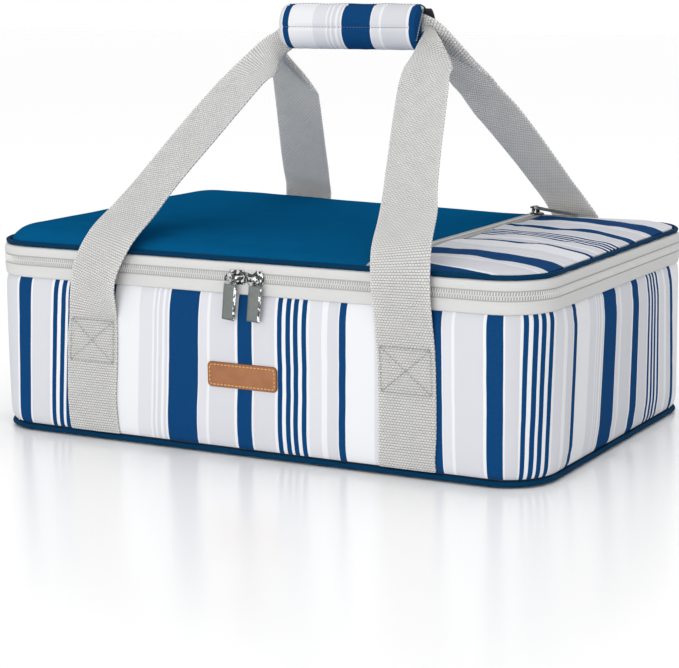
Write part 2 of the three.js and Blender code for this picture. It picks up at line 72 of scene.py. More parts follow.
# The body's sizes, read from the frame
WALL_LOW, WALL_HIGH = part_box("wall_fabric")
HALF_LENGTH, HALF_DEPTH, WALL_TOP = WALL_HIGH
WALL_FOOT = WALL_LOW.z
CORNER = 34 * MM
HINGE_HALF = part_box("hinge_strip")[1].x
LOWER_TAPE = heights_of("zip_lower")
UPPER_TAPE = heights_of("zip_upper")
SPLIT = (LOWER_TAPE[1] + UPPER_TAPE[0]) / 2
LOWER_BAND = heights_of("lower_band")
UPPER_BAND = heights_of("upper_band")
PIPING_LOW, PIPING_HIGH = heights_of("lid_piping")
LID_PIPING = (PIPING_LOW + PIPING_HIGH) / 2
FOOT_PIPING = middle_of("bottom_piping")[2]
PIPING_RADIUS = (PIPING_HIGH - PIPING_LOW) / 2
PIPING_PROUD = 0.6 * MM
PIPING_INSET = PIPING_RADIUS - PIPING_PROUD
GRIP_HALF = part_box("grip_cover")[1].x
STITCH_HEIGHT = heights_of("front_anchor_left")[1]
ANCHOR_X = middle_of("front_anchor_right")[0]

# The outline's straights and its corner arcs, as lengths along its edge
FRONT_RUN = HALF_LENGTH - CORNER
ARC_RUN = QUARTER * CORNER
SIDE_RUN = 2 * (HALF_DEPTH - CORNER)
HALF_ROUND = 2 * (FRONT_RUN + ARC_RUN) + SIDE_RUN
ROUND = 2 * HALF_ROUND

# Thickness of cloth, and the webbing
SKIN = 1 * MM
WEBBING = 38 * MM
WEBBING_THICK = 1.7 * MM

# One repeat of the woven stripes, from left to right: the dye and the width in millimetres. The
# widths come from stripe edges that a scratch script measured on the photo.
STRIPES = [
    ("navy", 10.6), ("white", 1), ("grey", 15.9), ("white", 2.2),
    ("navy", 3.5), ("white", 2.3), ("navy", 3.5), ("white", 2.35), ("navy", 3.4), ("white", 2.35),
    ("navy", 3.4), ("white", 2.5), ("mist", 9), ("white", 3.5), ("grey", 7.6), ("white", 1),
    ("navy", 4.7), ("white", 19.7), ("mist", 10.5), ("white", 1), ("grey", 2), ("white", 1.5),
    ("grey", 2.5), ("white", 2), ("grey", 2.5), ("white", 1.5), ("navy", 22), ("white", 0.6),
    ("mist", 6.4), ("white", 2), ("grey", 19), ("white", 2.5),
]
REPEAT = sum(width for _, width in STRIPES) * MM
STRETCH = 1.011
FRONT_START = -4.07 * MM
# How the wall's cloth is pulled round the body: a place along the outline, how far the stripe there
# is moved along at the height below, both in millimetres, and how much it leans. Worked out from
# stripe edges that a scratch script measured on the photo.
CLOTH_PULLS = [
    (-230, 0, 0), (-184, 0.9, 0.044), (-150, -0.3, 0.062), (-138, 0, 0.07), (-55, 0.9, 0.05),
    (-32, 0.7, 0.044), (2, 0.5, 0.025), (27, 0.1, 0.012), (74, 0, 0.017), (142, 0.6, -0.01),
    (183.3, -0.4, 0), (193, -9.6, 0.03), (214.4, -9, 0.05), (244.7, -5.2, 0.083),
    (292.2, -3.5, 0.11), (312.7, -4.7, 0.09), (343.7, -5.4, 0.073), (354.2, -4.9, 0.055),
    (372.7, -6.2, 0.027), (393.7, -6.2, -0.02), (417.7, -7, -0.058), (468, 0, 0),
]
PULLS_HEIGHT = 60 * MM
DYES = {"navy": (0.0028, 0.0465, 0.153), "white": (0.745, 0.752, 0.775), "mist": (0.645, 0.65, 0.685),
        "grey": (0.605, 0.61, 0.645)}

# The camera, from a least-squares fit to the photo. Yaw is to the left and pitch downwards.
CAMERA_PLACE = (677.96 * MM, -1228.42 * MM, 321.71 * MM)
CAMERA_YAW = math.radians(-29.043)
CAMERA_PITCH = math.radians(10.625)
CAMERA_ROLL = math.radians(-0.684)
CAMERA_FOCUS = 2038.9
CAMERA_REACH = (0.05, 20)
PHOTO_WIDTH = 679
SENSOR = 36

# Each lamp's place, what it aims at, its size and its power in watts
BODY_MIDDLE = (0, 0, 0.1)
LAMPS = {
    "key": ((-0.5, -2.4, 1.0), BODY_MIDDLE, (1.2, 0.9), 3),
    "low": ((0.2, -2.3, 0.12), (0, 0, 0.25), (1.6, 0.2), 20),
    "top": ((0, 0.5, 2.4), BODY_MIDDLE, (1.4, 1.2), 5),
}
FLOOR_REACH = 6


def linked(name, data):
    """A new object in the scene that holds that data."""
    holder = bpy.data.objects.new(name, data)
    bpy.context.scene.collection.objects.link(holder)
    return holder


def camera():
    data = bpy.data.cameras.new("camera")
    data.sensor_width = SENSOR
    data.lens = CAMERA_FOCUS / PHOTO_WIDTH * SENSOR
    data.clip_start, data.clip_end = CAMERA_REACH
    seen = Vector((
        math.sin(CAMERA_YAW) * math.cos(CAMERA_PITCH),
        math.cos(CAMERA_YAW) * math.cos(CAMERA_PITCH),
        -math.sin(CAMERA_PITCH),
    ))
    right = seen.cross(Vector((0, 0, 1))).normalized()
    up = right.cross(seen)
    tilted = right * math.cos(CAMERA_ROLL) + up * math.sin(CAMERA_ROLL)
    turn = Matrix((tilted, tilted.cross(seen), -seen)).transposed()
    holder = linked("camera", data)
    holder.matrix_world = Matrix.Translation(CAMERA_PLACE) @ turn.to_4x4()
    bpy.context.scene.camera = holder


def lamp(name, place, aim, size, power):
    data = bpy.data.lights.new(name, "AREA")
    data.shape = "RECTANGLE"
    data.size, data.size_y = size
    data.energy = power
    holder = linked(name, data)
    holder.location = place
    holder.rotation_euler = (Vector(aim) - Vector(place)).to_track_quat("-Z", "Y").to_euler()


def studio():
    world = bpy.data.worlds.new("studio")
    world.use_nodes = True
    world.node_tree.nodes["Background"].inputs["Color"].default_value = (1, 1, 1, 1)
    world.node_tree.nodes["Background"].inputs["Strength"].default_value = 1.0
    bpy.context.scene.world = world
    bpy.context.scene.view_settings.view_transform = "Standard"
    for name, settings in LAMPS.items():
        lamp(name, *settings)


def floor():
    mesh = bpy.data.meshes.new("floor")
    corners = [(x * FLOOR_REACH, y * FLOOR_REACH, 0) for x, y in ((-1, -1), (1, -1), (1, 1), (-1, 1))]
    mesh.from_pydata(corners, [], [(0, 1, 2, 3)])
    ground = linked("floor", mesh)
    mesh.materials.append(Graph("floor").surface(colour=(0.95, 0.95, 0.95), rough=0.22, shine=0.35))


# Shader maths
class Field:
    """A value or colour that varies over a surface, with its arithmetic written as Python."""

    def __init__(self, graph, socket):
        self.graph = graph
        self.socket = socket

    def __add__(self, other):
        return self.graph.maths("ADD", self, other)

    def __sub__(self, other):
        return self.graph.maths("SUBTRACT", self, other)

    def __rsub__(self, other):
        return self.graph.maths("SUBTRACT", other, self)

    def __mul__(self, other):
        return self.graph.maths("MULTIPLY", self, other)

    def __truediv__(self, other):
        return self.graph.maths("DIVIDE", self, other)


# The shader's inputs, by the short names that surface() takes
INPUTS = {
    "colour": "Base Color", "rough": "Roughness", "shine": "Specular IOR Level", "metal": "Metallic",
    "normal": "Normal", "glow": "Subsurface Weight", "glow_tint": "Subsurface Radius",
    "glow_depth": "Subsurface Scale",
}


class Graph:
    """The nodes of one material around its Principled shader."""

    def __init__(self, name):
        self.material = bpy.data.materials.new(name)
        self.material.use_nodes = True
        self.tree = self.material.node_tree

    def fill(self, socket, value):
        if isinstance(value, Field):
            self.tree.links.new(value.socket, socket)
        elif socket.type == "RGBA" and len(value) == 3:
            socket.default_value = (*value, 1)
        else:
            socket.default_value = value

    def surface(self, **inputs):
        """Fills the shader's inputs and gives the finished material."""
        for name, value in inputs.items():
            self.fill(self.tree.nodes["Principled BSDF"].inputs[INPUTS[name]], value)
        return self.material

    def node(self, kind, settings=None, values=(), output=0):
        """One node: its type, its settings, then the values or links of its sockets."""
        made = self.tree.nodes.new(kind)
        for name, value in (settings or {}).items():
            if name == "stops":
                self.ramp(made.color_ramp, value)
            else:
                setattr(made, name, value)
        items = values.items() if isinstance(values, dict) else enumerate(values)
        for key, value in items:
            self.fill(made.inputs[key], value)
        return Field(self, made.outputs[output])

    def ramp(self, ramp, stops):
        ramp.interpolation = "CONSTANT"
        while len(ramp.elements) < len(stops):
            ramp.elements.new(1)
        for element, (place, colour) in zip(ramp.elements, stops):
            element.position = place
            element.color = (*colour, 1)

    def cloth(self):
        """How far across and how far along the cloth, in metres."""
        place = self.cloth_place()
        return [self.node("ShaderNodeSeparateXYZ", {}, [place], part) for part in (0, 1)]

    def cloth_place(self):
        return self.node("ShaderNodeUVMap", {"uv_map": "Cloth"})

    def space(self):
        return self.node("ShaderNodeTexCoord", output="Object")

    def maths(self, operation, *values):
        return self.node("ShaderNodeMath", {"operation": operation}, values)

    def sine(self, value):
        return self.maths("SINE", value)

    def modulo(self, value, period):
        return self.maths("FLOORED_MODULO", value, period)

    def blur(self, place, size, detail=2.0, roughness=0.5):
        """Noise with features of that size."""
        values = {"Vector": place, "Scale": 1 / size, "Detail": detail, "Roughness": roughness}
        return self.node("ShaderNodeTexNoise", {}, values)

    def cells(self, place, scale, edges=False):
        """A pattern of cells: how far each place is from its cell's middle, or from its edge."""
        settings = {"feature": "DISTANCE_TO_EDGE"} if edges else {}
        return self.node("ShaderNodeTexVoronoi", settings, {"Vector": place, "Scale": scale})

    def ease(self, value, low, high, start=0.0, end=1.0):
        settings = {"interpolation_type": "SMOOTHSTEP"}
        return self.node("ShaderNodeMapRange", settings, [value, low, high, start, end])

    def mix(self, share, first, second):
        settings = {"data_type": "RGBA", "blend_type": "MIX", "clamp_factor": True}
        return self.node("ShaderNodeMix", settings, {0: share, 6: first, 7: second}, output=2)

    def bump(self, height, depth, strength, under=None):
        values = {"Height": height, "Distance": depth, "Strength": strength}
        if under is not None:
            values["Normal"] = under
        return self.node("ShaderNodeBump", {}, values)


# Finishes
CANVAS_PITCH = 0.9 * MM
RIB_ROW = 1.7 * MM
RIB_LUMP = 1.9 * MM
SLUB_SHARE = 0.008


def dimmed(colour, share):
    return tuple(min(1.0, part * share) for part in colour)


def weave(graph, across, along, pitch):
    """Height of a plain weave: threads that pass over and under each other."""
    return graph.sine(across * (TURN / pitch)) * graph.sine(along * (TURN / pitch))


def shade(graph, place, colour, spread, size):
    """A colour with soft uneven patches."""
    patches = graph.blur(place, size, 3.0)
    return graph.mix(patches, dimmed(colour, 1 - spread), dimmed(colour, 1 + spread))


def stripe_stops():
    """The stripe repeat as a constant ramp."""
    stops = []
    start = 0.0
    for dye, width in STRIPES:
        stops.append((start * MM / REPEAT, DYES[dye]))
        start += width
    return stops


def striped_cloth(name, offset, stretch=STRETCH):
    """Striped canvas. The stripes run across the first cloth coordinate, from that offset."""
    graph = Graph(name)
    across, along = graph.cloth()
    place = graph.cloth_place()
    wander = (graph.blur(place, 18 * MM, 1.0) - 0.5) * (0.5 * MM)
    share = graph.modulo((across + wander - offset) / (REPEAT * stretch), 1.0)
    ramp = graph.node("ShaderNodeValToRGB", {"stops": stripe_stops()}, [share])
    threads = weave(graph, across, along, CANVAS_PITCH)
    slubs = graph.blur(place, 2.2 * MM, 3.0)
    dyed = graph.mix(graph.ease(slubs, 0.25, 0.75) * SLUB_SHARE, ramp, (0.5, 0.52, 0.56))
    soft = graph.bump(graph.blur(place, 30 * MM), 1.2 * MM, 0.25)
    return graph.surface(
        # painted shade: the hollows between the threads are darkened towards navy, by up to 8 %
        colour=graph.mix((0.5 - threads * 0.5) * 0.08, dyed, (0.006, 0.04, 0.1)),
        rough=graph.ease(slubs, 0.2, 0.8, 0.72, 0.9),
        shine=0.02,
        normal=graph.bump(threads, 0.16 * MM, 0.6, soft),
    )


def plain_cloth(name, colour, pitch, rough, spread=0.08, relief=0.14 * MM, shine=0.03):
    """A plain woven cloth in one colour."""
    graph = Graph(name)
    across, along = graph.cloth()
    place = graph.cloth_place()
    threads = weave(graph, across, along, pitch)
    patches = shade(graph, place, colour, spread, 26 * MM)
    soft = graph.bump(graph.blur(place, 22 * MM), 1.0 * MM, 0.25)
    return graph.surface(
        # painted shade: the hollows between the threads are darkened, by up to 30 %
        colour=graph.mix((0.5 - threads * 0.5) * 0.3, patches, dimmed(colour, 0.55)),
        rough=graph.ease(graph.blur(place, 3 * MM, 3.0), 0.2, 0.8, rough - 0.07, rough + 0.07),
        shine=shine,
        normal=graph.bump(threads, relief, 0.6, soft),
    )


def webbing_cloth():
    """Ribbed webbing: rows of raised lumps across it, each row half a lump along from the next.
    Light comes through it."""
    graph = Graph("webbing")
    across, along = graph.cloth()
    place = graph.cloth_place()
    odd = graph.modulo(along, 2 * RIB_ROW)
    swap = graph.ease(odd, RIB_ROW * 0.97, RIB_ROW * 1.03) * (RIB_LUMP / 2)
    rows = graph.sine(graph.modulo(along, RIB_ROW) * (math.pi / RIB_ROW))
    lumps = graph.sine(graph.modulo(across + swap, RIB_LUMP) * (math.pi / RIB_LUMP))
    height = rows * (lumps * 0.85 + 0.15)
    worn = shade(graph, place, (0.6, 0.595, 0.58), 0.08, 12 * MM)
    return graph.surface(
        # painted shade: the low places between the ribs and lumps are darkened, by up to 75 %
        colour=graph.mix(graph.ease(height, 0.6, 0.0) * 0.75, worn, (0.18, 0.175, 0.17)),
        rough=graph.ease(graph.blur(place, 4 * MM), 0.2, 0.8, 0.62, 0.8),
        shine=0.25,
        glow=1.0,
        glow_tint=(1, 1, 1),
        glow_depth=6 * MM,
        normal=graph.bump(height, 0.5 * MM, 0.8),
    )


def lining_sheet():
    """Silvery wipe-clean lining with fine creases."""
    graph = Graph("lining")
    place = graph.space()
    creases = graph.bump(graph.ease(graph.cells(place, 70, edges=True), 0.0, 0.3), 0.25 * MM, 0.25)
    fine = graph.blur(place, 9 * MM, 5.0)
    return graph.surface(
        colour=shade(graph, place, (0.60, 0.62, 0.64), 0.12, 40 * MM),
        metal=0.55,
        rough=graph.ease(fine, 0.2, 0.8, 0.3, 0.48),
        normal=graph.bump(fine, 0.8 * MM, 0.5, creases),
    )


def foam_block():
    graph = Graph("foam")
    place = graph.space()
    return graph.surface(
        colour=shade(graph, place, (0.82, 0.81, 0.76), 0.06, 30 * MM),
        rough=0.95,
        normal=graph.bump(graph.cells(place, 900), 0.4 * MM, 0.6),
    )


def grey_board():
    graph = Graph("board")
    place = graph.space()
    grain = graph.blur(place, 1.5 * MM, 4.0)
    return graph.surface(
        colour=shade(graph, place, (0.045, 0.048, 0.055), 0.2, 12 * MM),
        rough=graph.ease(grain, 0.2, 0.8, 0.55, 0.75),
        normal=graph.bump(grain, 0.2 * MM, 0.5),
    )


def closure_cloth():
    """Hook-and-loop tape: a short dark pile."""
    graph = Graph("closure_tape")
    pile = graph.cells(graph.space(), 1400)
    return graph.surface(
        colour=graph.mix(pile, (0.03, 0.035, 0.045), (0.008, 0.01, 0.014)),
        rough=0.95,
        normal=graph.bump(pile, 0.5 * MM, 0.9),
    )


def leather_hide():
    """Tan leather, darker and worn along its pressed edge."""
    graph = Graph("leather")
    place = graph.space()
    along = graph.cloth()[1]
    pores = graph.cells(place, 950, edges=True)
    patches = graph.blur(place, 14 * MM, 5.0, 0.6)
    body = graph.mix(graph.ease(patches, 0.3, 0.7), (0.25, 0.088, 0.029), (0.315, 0.123, 0.044))
    edge = graph.ease(along, 1.2 * MM, 3.2 * MM, 1.0, 0.0)
    grain = graph.bump(graph.ease(pores, 0.0, 0.1), 0.18 * MM, 0.5)
    return graph.surface(
        colour=graph.mix(edge * 0.85, body, (0.19, 0.062, 0.016)),
        rough=graph.ease(patches, 0.25, 0.75, 0.42, 0.58),
        normal=graph.bump(patches, 0.6 * MM, 0.3, grain),
    )


def plated_metal():
    """Polished nickel plate with faint wipe marks and dark reflections painted into its colour."""
    graph = Graph("metal")
    place = graph.space()
    wipes = graph.blur(place, 5 * MM, 4.0)
    # painted reflections: dark patches mixed into the plate's colour
    dark = graph.ease(graph.blur(place, 2.6 * MM, 1.0), 0.46, 0.53)
    bright = graph.mix(wipes, (0.62, 0.63, 0.62), (0.82, 0.82, 0.8))
    return graph.surface(
        colour=graph.mix(dark, bright, (0.07, 0.075, 0.075)),
        metal=1.0,
        rough=graph.ease(wipes, 0.3, 0.7, 0.1, 0.2),
        normal=graph.bump(wipes, 0.12 * MM, 0.2),
    )


def brushed_metal():
    """A darker copy of the pulls' metal that paints dark reflections on their faces, brushed along their
    length.
    """
    graph = Graph("dark_reflection_metal")
    streaks = graph.blur(graph.space(), 2.5 * MM, 5.0, 0.7)
    return graph.surface(
        colour=graph.mix(streaks, (0.12, 0.135, 0.13), (0.2, 0.215, 0.205)),
        metal=0.9,
        rough=graph.ease(streaks, 0.3, 0.7, 0.3, 0.42),
        normal=graph.bump(streaks, 0.1 * MM, 0.3),
    )


def thread(name, colour):
    """Twisted sewing thread."""
    graph = Graph(name)
    values = {"Vector": graph.space(), "Scale": 900}
    twist = graph.node("ShaderNodeTexWave", {"bands_direction": "DIAGONAL"}, values)
    return graph.surface(
        # painted shade: the grooves of the twist are darker
        colour=graph.mix(twist, dimmed(colour, 0.7), colour),
        rough=0.6,
        normal=graph.bump(twist, 0.1 * MM, 0.5),
    )


def coil_plastic():
    """The zip's moulded nylon coil."""
    graph = Graph("coil")
    place = graph.space()
    cast = graph.blur(place, 3 * MM, 3.0)
    return graph.surface(
        colour=shade(graph, place, (0.6, 0.6, 0.59), 0.05, 8 * MM),
        rough=graph.ease(cast, 0.2, 0.8, 0.32, 0.48),
        normal=graph.bump(cast, 0.1 * MM, 0.3),
    )


# Mesh making
class Shape:
    """Points, faces and cloth coordinates, gathered for one piece."""

    def __init__(self):
        self.points = []
        self.faces = []
        self.cloth = []
        self.count = 0

    def add(self, points, faces, cloth):
        """Cloth coordinates are given for each corner of each face."""
        points = np.asarray(points, float).reshape(-1, 3)
        self.points.append(points)
        self.faces.extend([[corner + self.count for corner in face] for face in faces])
        self.cloth.extend(cloth)
        self.count += len(points)

    def grid(self, points, cloth, wrap_rows=False, wrap_columns=False, capped=False):
        """A net of rows of points. Cloth coordinates have one more row or column where it wraps."""
        rows, columns = points.shape[:2]
        faces = []
        corners = []
        for i in range(rows if wrap_rows else rows - 1):
            for j in range(columns if wrap_columns else columns - 1):
                ring = [(i, j), (i, j + 1), (i + 1, j + 1), (i + 1, j)]
                faces.append([(a % rows) * columns + b % columns for a, b in ring])
                corners.extend(cloth[a][b] for a, b in ring)
        if capped:
            for row, turn in ((0, -1), (rows - 1, 1)):
                order = range(columns)[::turn]
                faces.append([row * columns + b for b in order])
                corners.extend(cloth[row][b] for b in order)
        self.add(points, faces, corners)

    def bar(self, rings):
        """A closed bar through rings of points, with no cloth on it."""
        rings = np.array(rings)
        net = np.zeros((len(rings), len(rings[0]) + 1, 2))
        self.grid(rings, net, wrap_columns=True, capped=True)

    def panel(self, top, under, net):
        """A closed panel: its two faces and the narrow strip between them all round."""
        rows, columns = top.shape[:2]
        self.grid(top, net)
        self.grid(under, net)
        rim = [(i, 0) for i in range(rows)] + [(rows - 1, j) for j in range(1, columns)]
        rim += [(i, columns - 1) for i in range(rows - 2, -1, -1)]
        rim += [(0, j) for j in range(columns - 2, 0, -1)]
        base = self.count - 2 * rows * columns
        for (a, b), (c, d) in zip(rim, rim[1:] + rim[:1]):
            upper = [base + a * columns + b, base + c * columns + d]
            lower = [index + rows * columns for index in upper]
            self.faces.append([upper[0], upper[1], lower[1], lower[0]])
            self.cloth.extend([net[a][b], net[c][d], net[c][d], net[a][b]])

    def build(self, name, material, smooth=40):
        mesh = bpy.data.meshes.new(name)
        mesh.from_pydata(np.concatenate(self.points), [], self.faces)
        layer = mesh.uv_layers.new(name="Cloth")
        layer.uv.foreach_set("vector", np.asarray(self.cloth, np.float32).ravel())
        face_outwards(mesh)
        mesh.materials.append(material)
        mesh.shade_smooth()
        mesh.set_sharp_from_angle(angle=math.radians(smooth))
        return linked(name, mesh)


def face_outwards(mesh, joined=None):
    """Turns all faces outwards, after joining points that are at most that far apart."""
    editor = bmesh.new()
    editor.from_mesh(mesh)
    if joined:
        bmesh.ops.remove_doubles(editor, verts=editor.verts, dist=joined)
    bmesh.ops.recalc_face_normals(editor, faces=editor.faces)
    editor.to_mesh(mesh)
    editor.free()


def placed(piece, body, slot, *nodes):
    """Rides the piece on its body and lets it stand for its nodes."""
    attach(piece, body)
    if nodes:
        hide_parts(*nodes)


def round_body(step):
    """Places a step apart round the whole outline, the first and last at the middle of the back."""
    return np.linspace(-HALF_ROUND, HALF_ROUND, round(ROUND / step) + 1)


def outline(along):
    """Places and outward normals on the body's outline, at lengths from the middle of the front."""
    along = (np.asarray(along, float) + HALF_ROUND) % ROUND - HALF_ROUND
    hand = np.where(along < 0, -1.0, 1.0)
    run = np.abs(along)
    near = np.clip((run - FRONT_RUN) / CORNER, 0, QUARTER)
    far = np.clip((run - FRONT_RUN - ARC_RUN - SIDE_RUN) / CORNER, 0, QUARTER)
    side = np.clip(run - FRONT_RUN - ARC_RUN, 0, SIDE_RUN)
    back = np.clip(run - HALF_ROUND + FRONT_RUN, 0, FRONT_RUN)
    x = np.minimum(run, FRONT_RUN) + CORNER * np.sin(near) - CORNER * (1 - np.cos(far)) - back
    y = -HALF_DEPTH + CORNER * (1 - np.cos(near)) + side + CORNER * np.sin(far)
    turn = near + far
    return np.stack([x * hand, y], -1), np.stack([np.sin(turn) * hand, -np.cos(turn)], -1)


def swept(along, section):
    """Rows of points: a section of (inset, height) pairs carried to each place along the outline."""
    places, normals = outline(along)
    section = np.asarray(section, float)
    if section.ndim == 2:
        section = np.broadcast_to(section, (len(along), *section.shape))
    flat = places[:, None, :] - normals[:, None, :] * section[:, :, :1]
    return np.concatenate([flat, section[:, :, 1:]], -1)


def cloth_net(along, across):
    """Cloth coordinates of a net: lengths round the body for the rows, up it for the columns."""
    return [[(u, v) for v in across] for u in along]


def run_along(line):
    """How far along a line each of its points is."""
    return np.concatenate([[0], np.cumsum(np.linalg.norm(np.diff(line, axis=0), axis=1))])


def closed(line):
    return np.vstack([line, line[:1]])


def unit(vectors):
    return vectors / np.linalg.norm(vectors, axis=-1, keepdims=True)


def vectors_of(*values):
    return [np.asarray(value, float) for value in values]


def around(count):
    """The angles of that many places round a full turn."""
    return np.linspace(0, TURN, count + 1)[:-1]


def ease(low, high, value):
    """0 below low, 1 above high, smooth between."""
    share = np.clip((np.asarray(value, float) - low) / (high - low), 0, 1)
    return share * share * (3 - 2 * share)


def wrinkle(seed, *waves):
    """A sum of gentle waves in two directions: each wave is (length, height)."""
    draw = np.random.default_rng(seed)
    turns = [(length, height, draw.uniform(0, TURN), draw.uniform(0, TURN)) for length, height in waves]

    def height_at(a, b):
        total = 0
        for length, height, first, second in turns:
            turn = TURN / length
            total = total + height * np.sin(a * turn + first) * np.cos(b * turn * 0.8 + second)
        return total

    return height_at


SWEEP_STEP = 4 * MM


def ring_piece(section, reach=HALF_ROUND):
    """A closed section carried all round the body, or round the front as far as that reach."""
    section = np.asarray(section, float)
    whole = reach == HALF_ROUND
    along = np.linspace(-reach, reach, round(2 * reach / SWEEP_STEP) + 1)
    points = swept(along[:-1] if whole else along, section)
    net = cloth_net(along, run_along(closed(section)))
    shape = Shape()
    shape.grid(points, net, wrap_rows=whole, wrap_columns=True, capped=not whole)
    return shape


# The padding's cloth simulation
PADDING = {
    "quality": 6, "mass": 0.2, "tension_stiffness": 12, "compression_stiffness": 12,
    "shear_stiffness": 6, "bending_stiffness": 0.4, "vertex_group_mass": "seams", "use_pressure": True,
}
PADDING_MOMENTS = 20
PADDING_SINK = 0.15 * MM


def puffed(points, facing, held, push, most, wraps=False):
    """The net of points after its padding has pushed it out between its seams. Held is 1 on them.
    Cloth moves along its facing only, at most that far."""
    rows, columns = points.shape[:2]
    shape = Shape()
    shape.grid(points, np.zeros((rows + 1, columns, 2)), wrap_rows=wraps)
    sheet = shape.build("padding", None)
    group = sheet.vertex_groups.new(name="seams")
    for index, weight in enumerate(held.ravel()):
        group.add([index], float(weight), "REPLACE")
    settings = sheet.modifiers.new("cloth", "CLOTH").settings
    for name, value in PADDING.items():
        setattr(settings, name, value)
    settings.uniform_pressure_force = push
    settings.effector_weights.gravity = 0
    scene = bpy.context.scene
    for moment in range(PADDING_MOMENTS):
        scene.frame_set(moment + 1)
    ready = sheet.evaluated_get(bpy.context.evaluated_depsgraph_get()).to_mesh()
    moved = np.zeros(points.size, np.float32)
    ready.vertices.foreach_get("co", moved)
    scene.frame_set(1)
    bpy.data.objects.remove(sheet)
    shift = ((moved.reshape(points.shape) - points) * facing).sum(-1, keepdims=True)
    return points + facing * np.maximum(most * np.tanh(shift / most), -PADDING_SINK)


# The tub's wall
WALL_TUCK = 1.9 * MM
WALL_PUFF = 0.5 * MM
TUCK_RUN = 3 * MM
WALL_STEPS = 30
WALL_PUSH = 1.2
WALL_SWELL = 0.9 * MM
# How far past the label, and how far above and below its middle, the cloth is held
LABEL_MARGIN = 3 * MM
LABEL_HELD = 12 * MM


def wall_inset(height):
    """How far in the wall's face is at a height: tucked in at its two seams, full between."""
    low = np.exp(-(height - WALL_FOOT) / TUCK_RUN)
    high = np.exp(-(WALL_TOP - height) / TUCK_RUN)
    return WALL_TUCK * (low + high) - WALL_PUFF * (1 - low - high)


def wall():
    shares = 0.5 - 0.5 * np.cos(np.linspace(0, math.pi, WALL_STEPS + 1))
    heights = WALL_FOOT + (WALL_TOP - WALL_FOOT) * shares
    along = round_body(SWEEP_STEP)
    points = swept(along[:-1], np.stack([wall_inset(heights), heights], -1))
    place, normals = outline(along[:-1])
    held = np.zeros(points.shape[:2])
    held[:, [0, 1, -2, -1]] = 1
    for anchor in (-ANCHOR_X, ANCHOR_X):
        under = np.abs(place[:, 0] - anchor) < WEBBING / 2
        held[np.ix_(under, heights < STITCH_HEIGHT)] = 1
    label_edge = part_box("leather_label")[1].x
    behind = (np.abs(place[:, 0]) < label_edge + LABEL_MARGIN) & (place[:, 1] < 0)
    held[np.ix_(behind, np.abs(heights - middle_of("leather_label")[2]) < LABEL_HELD)] = 1
    facing = np.insert(normals, 2, 0, axis=1)[:, None]
    outer = puffed(points, facing, held, WALL_PUSH, WALL_SWELL, wraps=True)
    inner = outer[:, ::-1].copy()
    inner[:, :, :2] -= normals[:, None] * SKIN
    across = np.concatenate([heights, heights[::-1], heights[:1]])
    spots, pulls, leans = np.array(CLOTH_PULLS).T
    pulled = along - np.interp(along, spots * MM, pulls * MM)
    leaning = np.interp(along, spots * MM, leans)
    net = [[(u - lean * (v - PULLS_HEIGHT), v) for v in across] for u, lean in zip(pulled, leaning)]
    shape = Shape()
    shape.grid(np.concatenate([outer, inner], 1), net, wrap_rows=True, wrap_columns=True)
    piece = shape.build("striped_wall", FINISH["wall"])
    placed(piece, "tub", "striped_fabric", "wall_fabric")


# Pipings, bands and the zip
PIPING_STEP = 3 * MM
PIPING_SIDES = 14
BAND_LAP = 0.9 * MM
BAND_STITCH = 3 * MM
BAND_STITCH_LONG = 2.1 * MM
BAND_STITCH_RADIUS = 0.22 * MM
BAND_STITCH_INSET = -0.68 * MM
TAPE_FACE = -0.25 * MM
TOOTH_PITCH = 1.7 * MM
TOOTH_HALF = 1.5 * MM
TOOTH_PAST = 0.75 * MM
TOOTH_OUT = 0.5 * MM
TOOTH_SIDE = 0.48 * MM
TOOTH_SLANT = 0.22 * MM
TOOTH_LIFT = 0.4 * MM
UPPER_SHIFT = TOOTH_PITCH / 2 + 0.3 * MM
# A tooth's rings: how far from its middle, as a share of its half, and how wide
TOOTH_RINGS = ((-1.0, 0.35), (-0.8, 0.85), (0.0, 1.0), (0.8, 0.85), (1.0, 0.35))
# A stitch's rings: how far along it, and how wide
STITCH_RINGS = ((0.0, 0.35), (0.12, 0.85), (0.5, 1.0), (0.88, 0.85), (1.0, 0.35))
STITCH_BELLY = 0.2 * MM
ROLL_SIDES = 6


def piping(name, middle, slimmer, body, node, seed):
    """Fabric-covered cord sewn into a seam, a little uneven along its length."""
    uneven = wrinkle(seed, (21 * MM, 0.10 * MM), (57 * MM, 0.14 * MM))
    along = round_body(PIPING_STEP)[:-1]
    turns = around(PIPING_SIDES)
    sections = []
    for place in along:
        radius = PIPING_RADIUS + uneven(place, turns) - slimmer
        inset = PIPING_INSET - radius * np.cos(turns)
        sections.append(np.stack([inset, middle + radius * np.sin(turns)], -1))
    shape = Shape()
    net = cloth_net([*along, HALF_ROUND], [*(turns * PIPING_RADIUS), TURN * PIPING_RADIUS])
    shape.grid(swept(along, np.array(sections)), net, wrap_rows=True, wrap_columns=True)
    placed(shape.build(name, FINISH["navy_piping"]), body, "navy_piping", node)


def rounded_section(points, radius=0.45 * MM, steps=4):
    """A closed section of (inset, height) corners with each corner rounded."""
    points = np.asarray(points, float)
    made = []
    for k, corner in enumerate(points):
        before = points[k - 1] - corner
        after = points[(k + 1) % len(points)] - corner
        cut = min(radius, np.linalg.norm(before) * 0.45, np.linalg.norm(after) * 0.45)
        start = corner + before / np.linalg.norm(before) * cut
        end = corner + after / np.linalg.norm(after) * cut
        for share in np.linspace(0, 1, steps):
            made.append((1 - share) ** 2 * start + 2 * share * (1 - share) * corner + share**2 * end)
    return np.array(made)


